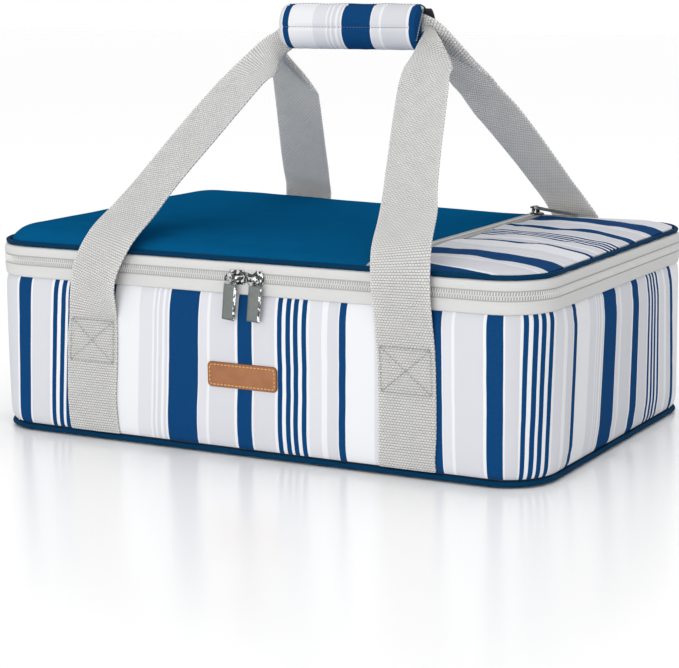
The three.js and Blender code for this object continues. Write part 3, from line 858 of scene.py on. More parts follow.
def stitches(name, ends, facing, radius, lift, finish, body, slot, *nodes):
    """A piece of sewn stitches: a short rounded roll between each pair of ends, raised off the
    cloth. They face one way, or each its own."""
    turns = around(ROLL_SIDES)
    shape = Shape()
    for (start, end), normal in zip(ends, np.broadcast_to(facing, (len(ends), 3))):
        start, end, normal = vectors_of(start, end, normal)
        ahead = end - start
        side = np.cross(ahead, normal)
        side /= np.linalg.norm(side)
        rows = []
        for share, width in STITCH_RINGS:
            rise = lift + STITCH_BELLY * (width - STITCH_RINGS[0][1])
            middle = start + ahead * share + normal * rise
            rows.append(middle + radius * width * (
                np.outer(np.cos(turns), side) + np.outer(np.sin(turns), normal)
            ))
        shape.bar(rows)
    placed(shape.build(name, FINISH[finish]), body, slot, *nodes)


def band(name, seam, zip_edge, body, node):
    """A band beside the main zip. Its zip edge is folded under, stands a little proud and is sewn
    down all round."""
    up = 1 if seam > zip_edge else -1
    seam += up * BAND_LAP
    outer = [
        (1.0 * MM, seam), (-0.2 * MM, seam - up * 0.7 * MM), (-0.7 * MM, (seam + zip_edge) / 2),
        (-0.8 * MM, zip_edge + up * 1.4 * MM), (-0.75 * MM, zip_edge),
    ]
    inner = [(0.2 * MM, zip_edge), (0.7 * MM, zip_edge + up * 2 * MM), (1.9 * MM, seam)]
    shape = ring_piece(rounded_section([*outer, *inner]))
    placed(shape.build(name, FINISH["grey_band"]), body, "grey_band", node)
    height = zip_edge + up * 1.6 * MM
    along = np.arange(-HALF_ROUND, HALF_ROUND, BAND_STITCH)
    starts, normals = outline(along)
    ends, _ = outline(along + BAND_STITCH_LONG)
    pairs = [[(*(spot - normal * BAND_STITCH_INSET), height) for spot in pair]
             for *pair, normal in zip(starts, ends, normals)]
    facing = [(*normal, 0) for normal in normals]
    stitches(f"{name}_stitching", pairs, facing, BAND_STITCH_RADIUS, 0.0, "pale_thread", body, "grey_band")


def tape(name, ends, body, node):
    """One half of the zip's tape, behind the coil."""
    low, high = ends
    low, high = (low - BAND_LAP, high) if body == "tub" else (low, high + BAND_LAP)
    corners = [(TAPE_FACE, low), (TAPE_FACE, high), (SKIN, high), (SKIN, low)]
    shape = ring_piece(rounded_section(corners, 0.2 * MM, 2), HALF_ROUND - HINGE_HALF)
    placed(shape.build(name, FINISH["zip_tape"]), body, "zip_tape", node)


def coil(name, edge, up, body):
    """The coil along one tape: a row of short slanted loops."""
    reach = HALF_ROUND - HINGE_HALF
    along = np.arange(-reach + TOOTH_PITCH, reach - TOOTH_PITCH, TOOTH_PITCH)
    if up > 0:
        along = along + UPPER_SHIFT
    places, normals = outline(along)
    forward = np.stack([-normals[:, 1], normals[:, 0]], -1)
    turns = around(ROLL_SIDES)
    middle = edge + up * (TOOTH_HALF - TOOTH_PAST)
    shape = Shape()
    for place, normal, ahead in zip(places, normals, forward):
        rows = []
        for span, width in TOOTH_RINGS:
            out = TOOTH_OUT * width * np.sin(turns) + TOOTH_LIFT
            side = TOOTH_SIDE * width * np.cos(turns) + span * TOOTH_SLANT
            flat = place + normal * out[:, None] + ahead * side[:, None]
            rows.append(np.insert(flat, 2, middle + span * TOOTH_HALF, axis=1))
        shape.bar(rows)
    placed(shape.build(name, FINISH["coil"]), body, "zip_tape")


def hinge():
    """The fabric hinge at the back."""
    low, high = LOWER_TAPE[0], UPPER_TAPE[1]
    bulge = 0.3 * MM
    heights = np.linspace(low, high, 9)
    across = np.linspace(-HINGE_HALF, HINGE_HALF, 61)
    face = HALF_DEPTH + bulge * np.sin((heights - low) / (high - low) * math.pi)
    outer = np.array([[(x, y, z) for z, y in zip(heights, face)] for x in across])
    inner = outer[:, ::-1] - np.array([0, SKIN, 0])
    net = cloth_net(across, [*heights, *heights[::-1], heights[0]])
    shape = Shape()
    shape.grid(np.concatenate([outer, inner], 1), net, wrap_columns=True, capped=True)
    piece = shape.build("hinge_fabric", FINISH["grey_band"])
    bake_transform(piece)
    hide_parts("hinge_strip")


# The lid
EDGE_INSET = 4.5 * MM
EDGE_RISE = 1.3 * MM
CROWN_LEFT = 11.6 * MM
CROWN_RIGHT = 4.6 * MM
CROWN_RUN = 7 * MM
CROWN_LEFT_X = -178 * MM
CROWN_RIGHT_X = 66 * MM
CORNER_BLOCK = 60 * MM
LID_STEP = 4 * MM
LID_PUSH = 0.8
LID_SWELL = 1.5 * MM
CREASE_SEED = 31
CREASE_PITCH = 2.1 * MM
CREASE_RUN = 14 * MM
CALM_EDGE = 25 * MM
POCKET_X = 94 * MM
POCKET_SLANT = math.radians(13.5)


def corner_net(xs, ys, rounded):
    """A net over a rectangle whose named corners follow the body's rounding. Corners are given as
    (x sign, y sign). Each ring of a corner block is bent to a rounded ring."""
    x, y = np.meshgrid(xs, ys, indexing="ij")
    radius = CORNER - EDGE_INSET
    straight = CORNER_BLOCK - radius
    arc = QUARTER * radius
    for sign_x, sign_y in rounded:
        end_x = xs[-1] if sign_x > 0 else xs[0]
        end_y = ys[-1] if sign_y > 0 else ys[0]
        p = 1 - np.abs(end_x - x) / CORNER_BLOCK
        q = 1 - np.abs(end_y - y) / CORNER_BLOCK
        inside = (p > 0) & (q > 0)
        level = np.maximum(np.maximum(p, q), 1e-9)
        share = np.where(p >= q, q / level / 2, 1 - p / level / 2)
        run = share * (2 * straight + arc)
        turn = np.clip((run - straight) / radius, 0, QUARTER)
        first = CORNER_BLOCK - radius * (1 - np.cos(turn)) - np.clip(run - straight - arc, 0, None)
        second = np.minimum(run, straight) + radius * np.sin(turn)
        x = np.where(inside, end_x - sign_x * (CORNER_BLOCK - level * first), x)
        y = np.where(inside, end_y - sign_y * (CORNER_BLOCK - level * second), y)
    return x, y


def inset_at(x, y):
    """How far inside the body's outline a point is."""
    gap_x = np.abs(x) - FRONT_RUN
    gap_y = np.abs(y) - (HALF_DEPTH - CORNER)
    outside = np.hypot(np.maximum(gap_x, 0), np.maximum(gap_y, 0))
    return CORNER - outside - np.minimum(np.maximum(gap_x, gap_y), 0)


def lid_top(x, y):
    """Height of the lid's outer face: a soft dome, fuller to the left."""
    share = np.clip((x - CROWN_LEFT_X) / (CROWN_RIGHT_X - CROWN_LEFT_X), 0, 1)
    crown = CROWN_LEFT + share * (CROWN_RIGHT - CROWN_LEFT)
    edge = np.exp((EDGE_INSET - inset_at(x, y)) / CROWN_RUN)
    return LID_PIPING + EDGE_RISE * edge + crown * (1 - edge)


def spread(low, high, step):
    """Places from low to high, closer together near both ends."""
    share = np.linspace(0, 1, round((high - low) / step) + 1)
    eased = share - 0.55 * np.sin(share * TURN) / TURN
    return low + (high - low) * eased


def lid_depth():
    return spread(-HALF_DEPTH + EDGE_INSET, HALF_DEPTH - EDGE_INSET, LID_STEP)


def lid_part(name, node, hand, finish, slot, waves):
    """The lid's left (-1) or right (1) panel, with its thickness turned under. The right one's
    stripes lie across the lid, at a slant."""
    low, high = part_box(node)
    x, y = corner_net(spread(low.x, high.x, LID_STEP), lid_depth(), [(hand, -1), (hand, 1)])
    gap = inset_at(x, y) - EDGE_INSET
    creases = wrinkle(CREASE_SEED, (64 * MM, 0.18 * MM), (23 * MM, 0.1 * MM))(x, y)
    creases = creases * np.sin(gap / CREASE_PITCH) * np.exp(-gap / CREASE_RUN)
    z = lid_top(x, y) + waves(x, y) * ease(0, CALM_EDGE, gap) + creases
    held = np.ones(x.shape)
    held[1:-1, 1:-1] = 0
    up = np.array([0, 0, 1])
    points = puffed(np.stack([x, y, z], -1), up, held, LID_PUSH, LID_SWELL)
    net = np.stack([x, y], -1)
    if hand > 0:
        slant, level = math.sin(POCKET_SLANT), math.cos(POCKET_SLANT)
        net = np.stack([-y * level - x * slant, x * level - y * slant], -1)
    shape = Shape()
    shape.panel(points, points - up * SKIN, net)
    piece = shape.build(name, FINISH[finish])
    placed(piece, "lid", slot, node)


def lid_panels():
    blue = wrinkle(3, (140 * MM, 0.5 * MM), (47 * MM, 0.12 * MM))
    lid_part("blue_lid_panel", "lid_panel", -1, "lid", "navy_fabric", blue)
    striped = wrinkle(8, (70 * MM, 0.9 * MM), (33 * MM, 0.3 * MM))
    lid_part("striped_pocket_panel", "pocket_panel", 1, "pocket", "striped_fabric", striped)


def pocket_zip():
    """Two tapes and a coil chain laid over the dome from front to back."""
    ys = lid_depth()
    crown = 0.35 * MM
    for side in ("left", "right"):
        node = f"pocket_tape_{side}"
        low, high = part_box(node)
        x, y = np.meshgrid(np.linspace(low.x, high.x, 5), ys, indexing="ij")
        lift = crown * np.sin((x - low.x) / (high.x - low.x) * math.pi)
        points = np.stack([x, y, lid_top(x, y) + lift], -1)
        shape = Shape()
        shape.panel(points, points - np.array([0, 0, SKIN]), np.stack([x, y], -1))
        placed(shape.build(f"{node}_cloth", FINISH["zip_tape"]), "lid", "zip_tape", node)
    rows = np.arange(ys[0] + TOOTH_PITCH, ys[-1] - TOOTH_PITCH, TOOTH_PITCH)
    near, far, slant = 0.1 * MM, 1.2 * MM, 0.2 * MM
    ends = []
    for side in (-1, 1):
        for y in rows + (side > 0) * TOOTH_PITCH / 2:
            z = float(lid_top(np.array(POCKET_X), np.array(y)))
            ends.append(((POCKET_X + side * near, y - slant, z), (POCKET_X + side * far, y + slant, z)))
    stitches("pocket_coil", ends, (0, 0, 1), 0.5 * MM, 0.1 * MM, "coil", "lid", "zip_tape",
             "pocket_chain")


# The handles. Each row is one place along a free leg, from just above its stitch line up to the
# grip: the outer edge (x, y, z), then the inner edge, in millimetres. A row that is narrower than
# the webbing has the rest of it folded in, at the outer edge of a right leg or the inner edge of a
# left one. Of the 96 edge points, 39 are as a scratch solver worked them out of strap edges read off
# the photo, and ten more lie within about 2 mm of its points.
LEGS = {
    (-1, -1): [
        (-132, -140, 97.5, -94.3, -141.2, 91), (-126.5, -141.5, 120.8, -90.6, -147, 110.5),
        (-117.5, -136, 141.3, -81, -142.5, 133.5), (-113, -114.1, 156.7, -75.6, -119.5, 152.8),
        (-108, -93.5, 172, -70.9, -101, 169.6), (-97.6, -54.4, 205, -60.5, -61.7, 201.2),
        (-91.7, -34.3, 221.5, -55, -42.8, 216.9), (-84.3, -15.1, 237.9, -48.1, -25.6, 232.9),
        (-76, -3, 250, -45.5, -19, 238.5), (-66.8, 5.5, 261, -46.3, -9, 243.5),
        (-58.5, 11, 267.5, -50.5, 6, 252.5),
    ],
    (-1, 1): [
        (137.8, -140.5, 103, 98, -140.5, 102), (137.8, -143, 122, 98.2, -144.3, 121),
        (135, -135, 146, 96.5, -140.5, 141), (125, -106.4, 163.9, 87.5, -114.2, 156.4),
        (119.6, -95.4, 174.4, 83.2, -101.5, 165.2), (109.8, -70.6, 195.8, 73.6, -75.8, 185.4),
        (99.9, -43.6, 217.7, 63.5, -48.5, 208.2), (90.4, -18, 240.6, 55.2, -25, 228.2),
        (86, -10, 246.5, 53.5, -17, 238), (80, -3, 253.5, 53, -9, 245.5),
        (71.5, 4.5, 262, 54.5, -1, 252.5), (65, 12, 266.5, 57.5, 4.5, 262.5),
        (60.5, 17, 272.5, 57, 13, 268.5),
    ],
    (1, -1): [
        (-135, 141, 106, -97, 141, 104), (-130.5, 142.7, 125, -93.5, 145.5, 120.5),
        (-124.3, 134, 143.5, -88, 140.5, 136), (-117.4, 119, 157.5, -81.3, 126.5, 148.1),
        (-111.9, 107, 169.3, -75.8, 114.6, 160.4), (-101.5, 85.6, 192.4, -65.6, 91.9, 181.8),
        (-91.5, 65.1, 214.6, -55.6, 69.7, 202.9), (-86.7, 55.1, 225.4, -50.7, 58.5, 213.8),
        (-82.5, 46, 236, -49.4, 51, 222.7), (-77.5, 37, 245.5, -53, 42, 234.5),
        (-69.5, 28, 256.5, -55.5, 32, 243.5), (-60, 19, 270, -56, 20, 252),
    ],
    (1, 1): [
        (136.5, 141, 106, 98.5, 141, 104), (134.5, 143.3, 125, 97.3, 146.5, 121.5),
        (128.4, 129.5, 143.5, 92.3, 140.2, 138.7), (123.9, 113.3, 158.7, 87.1, 122.3, 156.8),
        (119.4, 98.7, 173.9, 82.5, 107.5, 171.4), (109.8, 71.4, 203.1, 73.3, 80.1, 197.4),
        (104.4, 58.3, 216.8, 68, 67.2, 210.2), (98.3, 44.1, 229.4, 62.3, 55.5, 225.1),
        (92.5, 35.5, 239, 60.7, 47, 231), (85, 26.5, 250, 60, 36.5, 240.5),
        (75.5, 20.5, 262.5, 59.5, 27, 248.5), (63.5, 17.5, 274, 58, 19, 256),
    ],
}
# The sewn lengths of webbing: a height, then the outer and inner edges of the left one and the
# inner and outer edges of the right one, in millimetres. They were read off brightness profiles that
# a scratch script took from the photo.
SEWN = [
    (3, -137.2, -98, 98.7, 137.8), (12, -137.5, -98, 98.9, 138.1), (30, -138.3, -99, 99.2, 139.3),
    (50, -137.6, -97.4, 99.2, 139.3), (70, -136.6, -96.3, 98.9, 139), (91, -133.5, -96, 97.8, 138),
]
SEWN_STEPS = 12
SEWN_FOOT = 0.4 * MM
SEWN_PROUD = 0.3 * MM
STRAP_STEP = 2.6 * MM
STRAP_PLANE = 3 * MM
GRIP_Y = 14 * MM
GRIP_Z = 271 * MM
GRIP_LEFT = -50.5 * MM
GRIP_RIGHT = 54.5 * MM
GRIP_DEEP = 12.9 * MM
GRIP_TALL = 15.5 * MM
GRIP_SHARES = (0.12, 0.35, 0.65, 0.88)
HOLE_Y = 18.2 * MM
FOLD_RADIUS = 1 * MM
FOLD_OPENING = 1.1 * MM
FOLD_NEAR, FOLD_FAR = 2 * MM, 26 * MM
FOLD_LEAST = 1.2 * MM
FOLDED = WEBBING / 2
CURVE_STEPS = 12
# Places across the webbing, with its thin edges, and how thick those edges are
EDGE_NEAR, EDGE_FAR = 0.3 * MM, 1 * MM
EDGE_SHARES = (0.45, 0.85)
ACROSS = np.sort(np.concatenate([
    np.linspace(-WEBBING / 2 + EDGE_FAR, WEBBING / 2 - EDGE_FAR, 37),
    [-WEBBING / 2, -WEBBING / 2 + EDGE_NEAR, WEBBING / 2 - EDGE_NEAR, WEBBING / 2],
]))


def anchor_face(side, height):
    """Where the middle of the sewn webbing lies on the front (-1) or rear (1) wall at a height."""
    return side * (HALF_DEPTH - wall_inset(height) + SEWN_PROUD + WEBBING_THICK / 2)


def sewn_edges(sign, height):
    """The left and right edges of the left (-1) or right (1) sewn webbing at a height."""
    heights, *edges = np.array(SEWN).T * MM
    return [np.interp(height, heights, edge) for edge in (edges[:2] if sign < 0 else edges[2:])]


def sewn_rows(side, sign):
    """The rows of one sewn length from its foot up, its outer edge being first on the left."""
    rows = []
    for z in np.linspace(WALL_FOOT + SEWN_FOOT, STITCH_HEIGHT, SEWN_STEPS):
        y = anchor_face(side, z)
        first, second = sewn_edges(sign, z)[::-sign]
        rows.append([first, y, z, second, y, z, 0, 0])
    return rows


def leg_rows(side, sign):
    """The rows of one free leg up to the grip."""
    rows = []
    for row in LEGS[side, sign]:
        edges = np.array(row) * MM
        seen = np.linalg.norm(edges[:3] - edges[3:])
        folded = min(WEBBING - seen, 0.9 * seen) if seen < WEBBING - FOLD_LEAST else 0
        rows.append([*edges, folded if sign > 0 else 0, folded if sign < 0 else 0])
    return rows


def strap_rows(side):
    """One handle from the foot of its left anchor to that of its right: both edges of the
    webbing, then how much is folded in at the first and at the second edge."""
    rows = sewn_rows(side, -1) + leg_rows(side, -1)
    y = HOLE_Y + side * STRAP_PLANE
    for share in GRIP_SHARES:
        x = GRIP_LEFT + (GRIP_RIGHT - GRIP_LEFT) * share
        top, foot = GRIP_Z + FOLDED / 2, GRIP_Z - FOLDED / 2
        rows.append([x, y, top, x, y, foot, FOLDED * share, FOLDED * (1 - share)])
    return np.array(rows + leg_rows(side, 1)[::-1] + sewn_rows(side, 1)[::-1])


def smooth_rows(rows, step):
    """Rows a step apart on a smooth curve through the given ones, and how far along each is."""
    middle = (rows[:, :3] + rows[:, 3:6]) / 2
    gaps = np.sqrt(np.linalg.norm(np.diff(middle, axis=0), axis=1))
    knots = np.concatenate([[-gaps[0], 0], np.cumsum(gaps), [gaps.sum() + gaps[-1]]])
    ends = np.vstack([2 * rows[0] - rows[1], rows, 2 * rows[-1] - rows[-2]])

    def between(t, start, end, first, second):
        return (end - t) / (end - start) * first + (t - start) / (end - start) * second

    fine = []
    for k in range(1, len(ends) - 2):
        p0, p1, p2, p3 = ends[k - 1:k + 3]
        t0, t1, t2, t3 = knots[k - 1:k + 3]
        for t in np.linspace(t1, t2, CURVE_STEPS, endpoint=False):
            a1 = between(t, t0, t1, p0, p1)
            a2 = between(t, t1, t2, p1, p2)
            a3 = between(t, t2, t3, p2, p3)
            b1 = between(t, t0, t2, a1, a2)
            b2 = between(t, t1, t3, a2, a3)
            fine.append(between(t, t1, t2, b1, b2))
    fine = np.array([*fine, rows[-1]])
    run = run_along((fine[:, :3] + fine[:, 3:6]) / 2)
    marks = np.linspace(0, run[-1], round(run[-1] / step))
    return np.stack([np.interp(marks, run, column) for column in fine.T], -1), marks


def strap(side, name, nodes):
    """One handle's webbing, in one length from wall to wall through the grip."""
    rows, marks = smooth_rows(strap_rows(side), STRAP_STEP)
    middle = (rows[:, :3] + rows[:, 3:6]) / 2
    wide = unit(rows[:, 3:6] - rows[:, :3])
    ahead = np.gradient(middle, axis=0)
    ahead = unit(ahead - wide * (ahead * wide).sum(1, keepdims=True))
    lifts = np.cross(wide, ahead) * side
    beyond = np.maximum(GRIP_LEFT - middle[:, 0], middle[:, 0] - GRIP_RIGHT)
    radii = FOLD_RADIUS + FOLD_OPENING * ease(FOLD_NEAR, FOLD_FAR, beyond)
    widths = np.linalg.norm(rows[:, 3:6] - rows[:, :3], axis=1)
    folds = np.maximum(rows[:, 6:], 0)
    half = np.full(len(ACROSS), WEBBING_THICK / 2)
    for k, share in enumerate(EDGE_SHARES):
        half[[k, -1 - k]] *= share
    rings = []
    for place, across, lift, seen, fold, radius in zip(middle, wide, lifts, widths, folds, radii):
        half_seen = seen / 2
        low, high = -half_seen - fold[0], half_seen + fold[1]
        marks_across = (ACROSS / WEBBING + 0.5) * (high - low) + low
        spare = np.maximum(np.abs(marks_across) - half_seen, 0)
        hand = np.sign(marks_across)
        turn = np.minimum(math.pi, spare / radius)
        reach = radius * np.sin(turn) - np.maximum(0, spare - math.pi * radius)
        flat = np.clip(marks_across, -half_seen, half_seen) + hand * reach
        rise = radius * (1 - np.cos(turn))
        face = place + np.outer(flat, across) + np.outer(rise, lift)
        out = np.outer(hand * np.sin(turn), across) - np.outer(np.cos(turn), lift)
        rings.append(np.concatenate([face + out * half[:, None], (face - out * half[:, None])[::-1]]))
    net = [[(v, u) for v in [*ACROSS, *ACROSS[::-1], ACROSS[0]]] for u in marks]
    shape = Shape()
    shape.grid(np.array(rings), net, wrap_columns=True, capped=True)
    piece = shape.build(name, FINISH["webbing"])
    line = anchor_face(side, STITCH_HEIGHT)
    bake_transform(piece)
    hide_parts(*nodes)


BOX_DEEP = 30 * MM
BOX_BELOW = 1.5 * MM
BOX_INSET = 2.6 * MM
BOX_PITCH = 2.7 * MM
BOX_SHARES = (0.16, 0.84)


def anchor_stitching(side, sign, name):
    """The sewn box with its crossed lines at the top of an anchor."""
    low, high = STITCH_HEIGHT - BOX_DEEP, STITCH_HEIGHT - BOX_BELOW
    lefts, rights = sewn_edges(sign, np.array([low, high]))
    corners = [(lefts[0] + BOX_INSET, low), (lefts[1] + BOX_INSET, high),
               (rights[1] - BOX_INSET, high), (rights[0] - BOX_INSET, low)]
    runs = [*zip(corners, corners[1:] + corners[:1]), corners[::2], corners[1::2]]
    ends = []
    for (x0, z0), (x1, z1) in runs:
        count = round(math.hypot(x1 - x0, z1 - z0) / BOX_PITCH)
        for k in range(count):
            pair = []
            for part in BOX_SHARES:
                share = (k + part) / count
                x, z = x0 + (x1 - x0) * share, z0 + (z1 - z0) * share
                pair.append((x, anchor_face(side, z) + side * WEBBING_THICK / 2, z))
            ends.append(pair)
    stitches(name, ends, (0, side, 0), 0.3 * MM, 0.05 * MM, "grey_thread", "tub", "webbing")


# The grip's wrap. Angles round it are in degrees, from the front over the top.
FLAP_SEAM = 80
FLAP_END = -113
COVER_END = 280
SEWN_LINES = (0, 76)
TOP_STITCHES = 84
ANGLE_STEP = 4.0
FLAP_STEP = 3.86
INSIDE_DEEP = 4.6 * MM
INSIDE_TALL = 11 * MM
GRIP_STEP = 1.6 * MM
COVER_TUCK = 2.1 * MM
COVER_TUCK_FROM = (226, 244)
PADDING_TUCK_FROM = (222, 240)
PADDING_INSET = 1.3 * MM
COVER_SEED = 5
FLAP_SEED = 6
FLAP_BEND = (56, 24)
# The wrap's rounded ends, the seam beside each of them, and its sewn lines (their width in degrees)
END_ROUND = 1.0 * MM
END_RUN = 2.2 * MM
CALM_END = 8 * MM
SEAM_GAP = 4 * MM
SEAM_WIDE = 0.9 * MM
SEAM_DEEP = 0.35 * MM
LINE_WIDE = 5.0
LINE_DEEP = 0.75 * MM


def on_grip(angles, proud):
    """Points (y, z) on the grip's oval, standing proud of it."""
    turn = np.radians(angles)
    y = GRIP_Y - (GRIP_DEEP + proud) * np.cos(turn)
    return np.stack([y, GRIP_Z + (GRIP_TALL + proud) * np.sin(turn)], -1)


def strap_hole(angles):
    """Points (y, z) on the rounded slot that the straps pass through."""
    turn = np.radians(angles)
    c, s = np.cos(turn), np.sin(turn)
    reach = (np.abs(c / INSIDE_DEEP) ** 5 + np.abs(s / INSIDE_TALL) ** 5) ** -0.2
    return np.stack([HOLE_Y - reach * c, GRIP_Z + reach * s], -1)


def grip_shell(name, finish, angles, outer, inner, low=GRIP_LEFT, high=GRIP_RIGHT, swell=None):
    """A closed shell along the grip, between two lines of (y, z) points. Swell moves the outer line
    in or out at each place."""
    xs = np.linspace(low, high, round((high - low) / GRIP_STEP))
    away = unit(outer - [GRIP_Y, GRIP_Z])
    faces = []
    for line, moved in ((outer, swell), (inner, None)):
        rows = []
        for x in xs:
            shift = 0 if moved is None else moved(x, angles)[:, None]
            rows.append(np.insert(line + away * shift, 0, x, axis=1))
        faces.append(np.array(rows))
    net = np.stack(np.meshgrid(xs, run_along(outer), indexing="ij"), -1)
    shape = Shape()
    shape.panel(*faces, net)
    return shape.build(name, FINISH[finish])


def wrap_swell(seed):
    """The wrap's padding: pulled in along its sewn lines and rounded off at its ends."""
    soft = wrinkle(seed, (31 * MM, 0.22 * MM), (13 * MM, 0.08 * MM))

    def swell(x, angles):
        gap = np.minimum(x - GRIP_LEFT, GRIP_RIGHT - x)
        end = -END_ROUND * (1 - ease(0, END_RUN, gap))
        seam = SEAM_DEEP * np.exp(-((gap - SEAM_GAP) / SEAM_WIDE) ** 2)
        lines = sum(np.exp(-((angles - line) / LINE_WIDE) ** 2) for line in SEWN_LINES)
        uneven = soft(x, np.radians(angles) * GRIP_TALL) * ease(0, CALM_END, gap)
        return end - seam - LINE_DEEP * lines + uneven

    return swell


def grip():
    cover_and_padding()
    flap()
    closures()
    grip_stitching()


def cover_and_padding():
    angles = np.arange(FLAP_SEAM, COVER_END + 1, ANGLE_STEP)
    tucked = -COVER_TUCK * ease(*COVER_TUCK_FROM, angles)
    outer, inner = on_grip(angles, tucked), on_grip(angles, tucked - SKIN)
    cover = grip_shell("grip_wrap", "grip_stripes", angles, outer, inner, swell=wrap_swell(COVER_SEED))
    placed(cover, "rear_handle", "striped_fabric", "grip_cover")
    angles = np.arange(FLAP_SEAM + 8, COVER_END - 9, ANGLE_STEP)
    outer = on_grip(angles, -PADDING_INSET - COVER_TUCK * ease(*PADDING_TUCK_FROM, angles))
    padding = grip_shell("grip_padding", "foam", angles, outer, strap_hole(angles),
                         GRIP_LEFT + 1 * MM, GRIP_RIGHT - 1 * MM)
    placed(padding, "rear_handle", "foam", "grip_pad")


def flap():
    """The wrap's front, which has its own padding."""
    angles = np.arange(FLAP_END, FLAP_SEAM + 0.5, FLAP_STEP)
    thick = ease(-66, -46, angles) * (1 - 0.7 * ease(66, 80, angles))
    inner = on_grip(angles, -SKIN)
    inner = inner + (strap_hole(angles) - inner) * thick[:, None] * 0.97
    piece = grip_shell("grip_front_flap", "grip_stripes", angles, on_grip(angles, 0), inner,
                       swell=wrap_swell(FLAP_SEED))
    start, end = on_grip(np.array(FLAP_BEND), 0)
    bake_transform(piece)
    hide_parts("grip_flap")


def closures():
    """Both sides of the wrap's closure, under the flap, and the end that peeks out on the right."""
    under = np.arange(-108, -62, ANGLE_STEP)
    peeking = np.arange(112, 174, ANGLE_STEP)
    for name, body, nodes, angles, proud, thick, low, high in (
        ("hook_side", "flap", ["hook_tape"], under, -1.15 * MM, 0.4 * MM, -43 * MM, 47 * MM),
        ("loop_side", "rear_handle", ["loop_tape"], under, -1.55 * MM, 0.4 * MM, -43 * MM, 47 * MM),
        ("closure_end", "rear_handle", [], peeking, -2.2 * MM, 1.2 * MM, GRIP_RIGHT - 8 * MM,
         GRIP_RIGHT + 5 * MM),
    ):
        outer, inner = on_grip(angles, proud), on_grip(angles, proud - thick)
        placed(grip_shell(name, "closure", angles, outer, inner, low, high), body, "closure_tape", *nodes)


def grip_stitching():
    """Two lines of fine stitches along the wrap and a slanted row round each end."""
    for name, line, body, seed in (("top", TOP_STITCHES, "rear_handle", COVER_SEED),
                                   ("front", SEWN_LINES[0], "flap", FLAP_SEED)):
        swell = wrap_swell(seed)
        ends = [
            [(place, *on_grip(line, swell(place, float(line)))) for place in (x, x + 1.8 * MM)]
            for x in np.arange(GRIP_LEFT + 3 * MM, GRIP_RIGHT - 4 * MM, 2.4 * MM)
        ]
        turn = math.radians(line)
        facing = (0, -math.cos(turn), math.sin(turn))
        stitches(f"grip_{name}_stitching", ends, facing, 0.2 * MM, 0.02 * MM, "dark_thread", body,
                 "striped_fabric")
    for name, x, hand in (("left", GRIP_LEFT, -1), ("right", GRIP_RIGHT, 1)):
        ends = []
        for share in np.linspace(0, 1, 21):
            y, z = (5.4 + 10.6 * share) * MM, (262.5 + 21 * share) * MM
            ends.append(((x, y - 1.0 * MM, z - 0.25 * MM), (x, y + 1.0 * MM, z + 0.25 * MM)))
        stitches(f"grip_end_stitching_{name}", ends, (hand, 0, 0), 0.2 * MM, 0.05 * MM, "pale_thread",
                 "flap", "striped_fabric")


# Plates and rods
ROD_SIDES = 12


def rounded_loop(half_a, half_b, corner, inset):
    """The outline of a rounded rectangle, drawn that far inside it."""
    half_a, half_b, corner = half_a - inset, half_b - inset, max(corner - inset, 0.2 * MM)
    loop = []
    for sign_a, sign_b, start in ((1, 1, 0), (-1, 1, 1), (-1, -1, 2), (1, -1, 3)):
        for share in np.linspace(0, 1, 7):
            turn = (start + share) * QUARTER
            loop.append((sign_a * (half_a - corner) + corner * math.cos(turn),
                         sign_b * (half_b - corner) + corner * math.sin(turn)))
    return np.array(loop)


def plate(shape, outline_at, origin, a, b, rises):
    """A plate with shaped edges in the plane of a and b. Each rise is (how far in, how high), in
    millimetres."""
    rises = np.array(rises) * MM
    origin, a, b = vectors_of(origin, a, b)
    normal = np.cross(a, b)
    rings = []
    for inset, height in rises:
        flat = outline_at(inset)
        rings.append(origin + flat[:, :1] * a + flat[:, 1:] * b + height * normal)
    deep = np.concatenate([[0], np.cumsum([abs(x) + abs(y) for x, y in np.diff(rises, axis=0)])])
    net = [[(0, v)] * (len(rings[0]) + 1) for v in deep]
    shape.grid(np.array(rings), net, wrap_columns=True, capped=True)


def rod(shape, path, radius, hint, flat=1.0):
    """A round or flattened bar along a path."""
    path, hint = vectors_of(path, hint)
    ahead = unit(np.gradient(path, axis=0))
    first = unit(hint - ahead * (ahead @ hint)[:, None])
    second = np.cross(ahead, first)
    turns = around(ROD_SIDES)
    shape.bar([
        place + radius * (np.outer(np.cos(turns), one) + flat * np.outer(np.sin(turns), two))
        for place, one, two in zip(path, first, second)
    ])


# The label: its rounding, its section from the edge in, and its row of stitches
LABEL_CORNER = 3 * MM
LABEL_RISES = ((0, 0), (-0.1, 0.8), (0.1, 1.3), (0.5, 1.6), (1.1, 1.62), (1.6, 1.3), (2.0, 1.25),
               (2.5, 1.5), (3.2, 1.66), (4.4, 1.7))
LABEL_STITCH_INSET = 1.75 * MM
LABEL_STITCH_HEIGHT = 1.25 * MM
LABEL_STITCH = 2.75 * MM
LABEL_STITCH_SHARES = (0.17, 0.83)


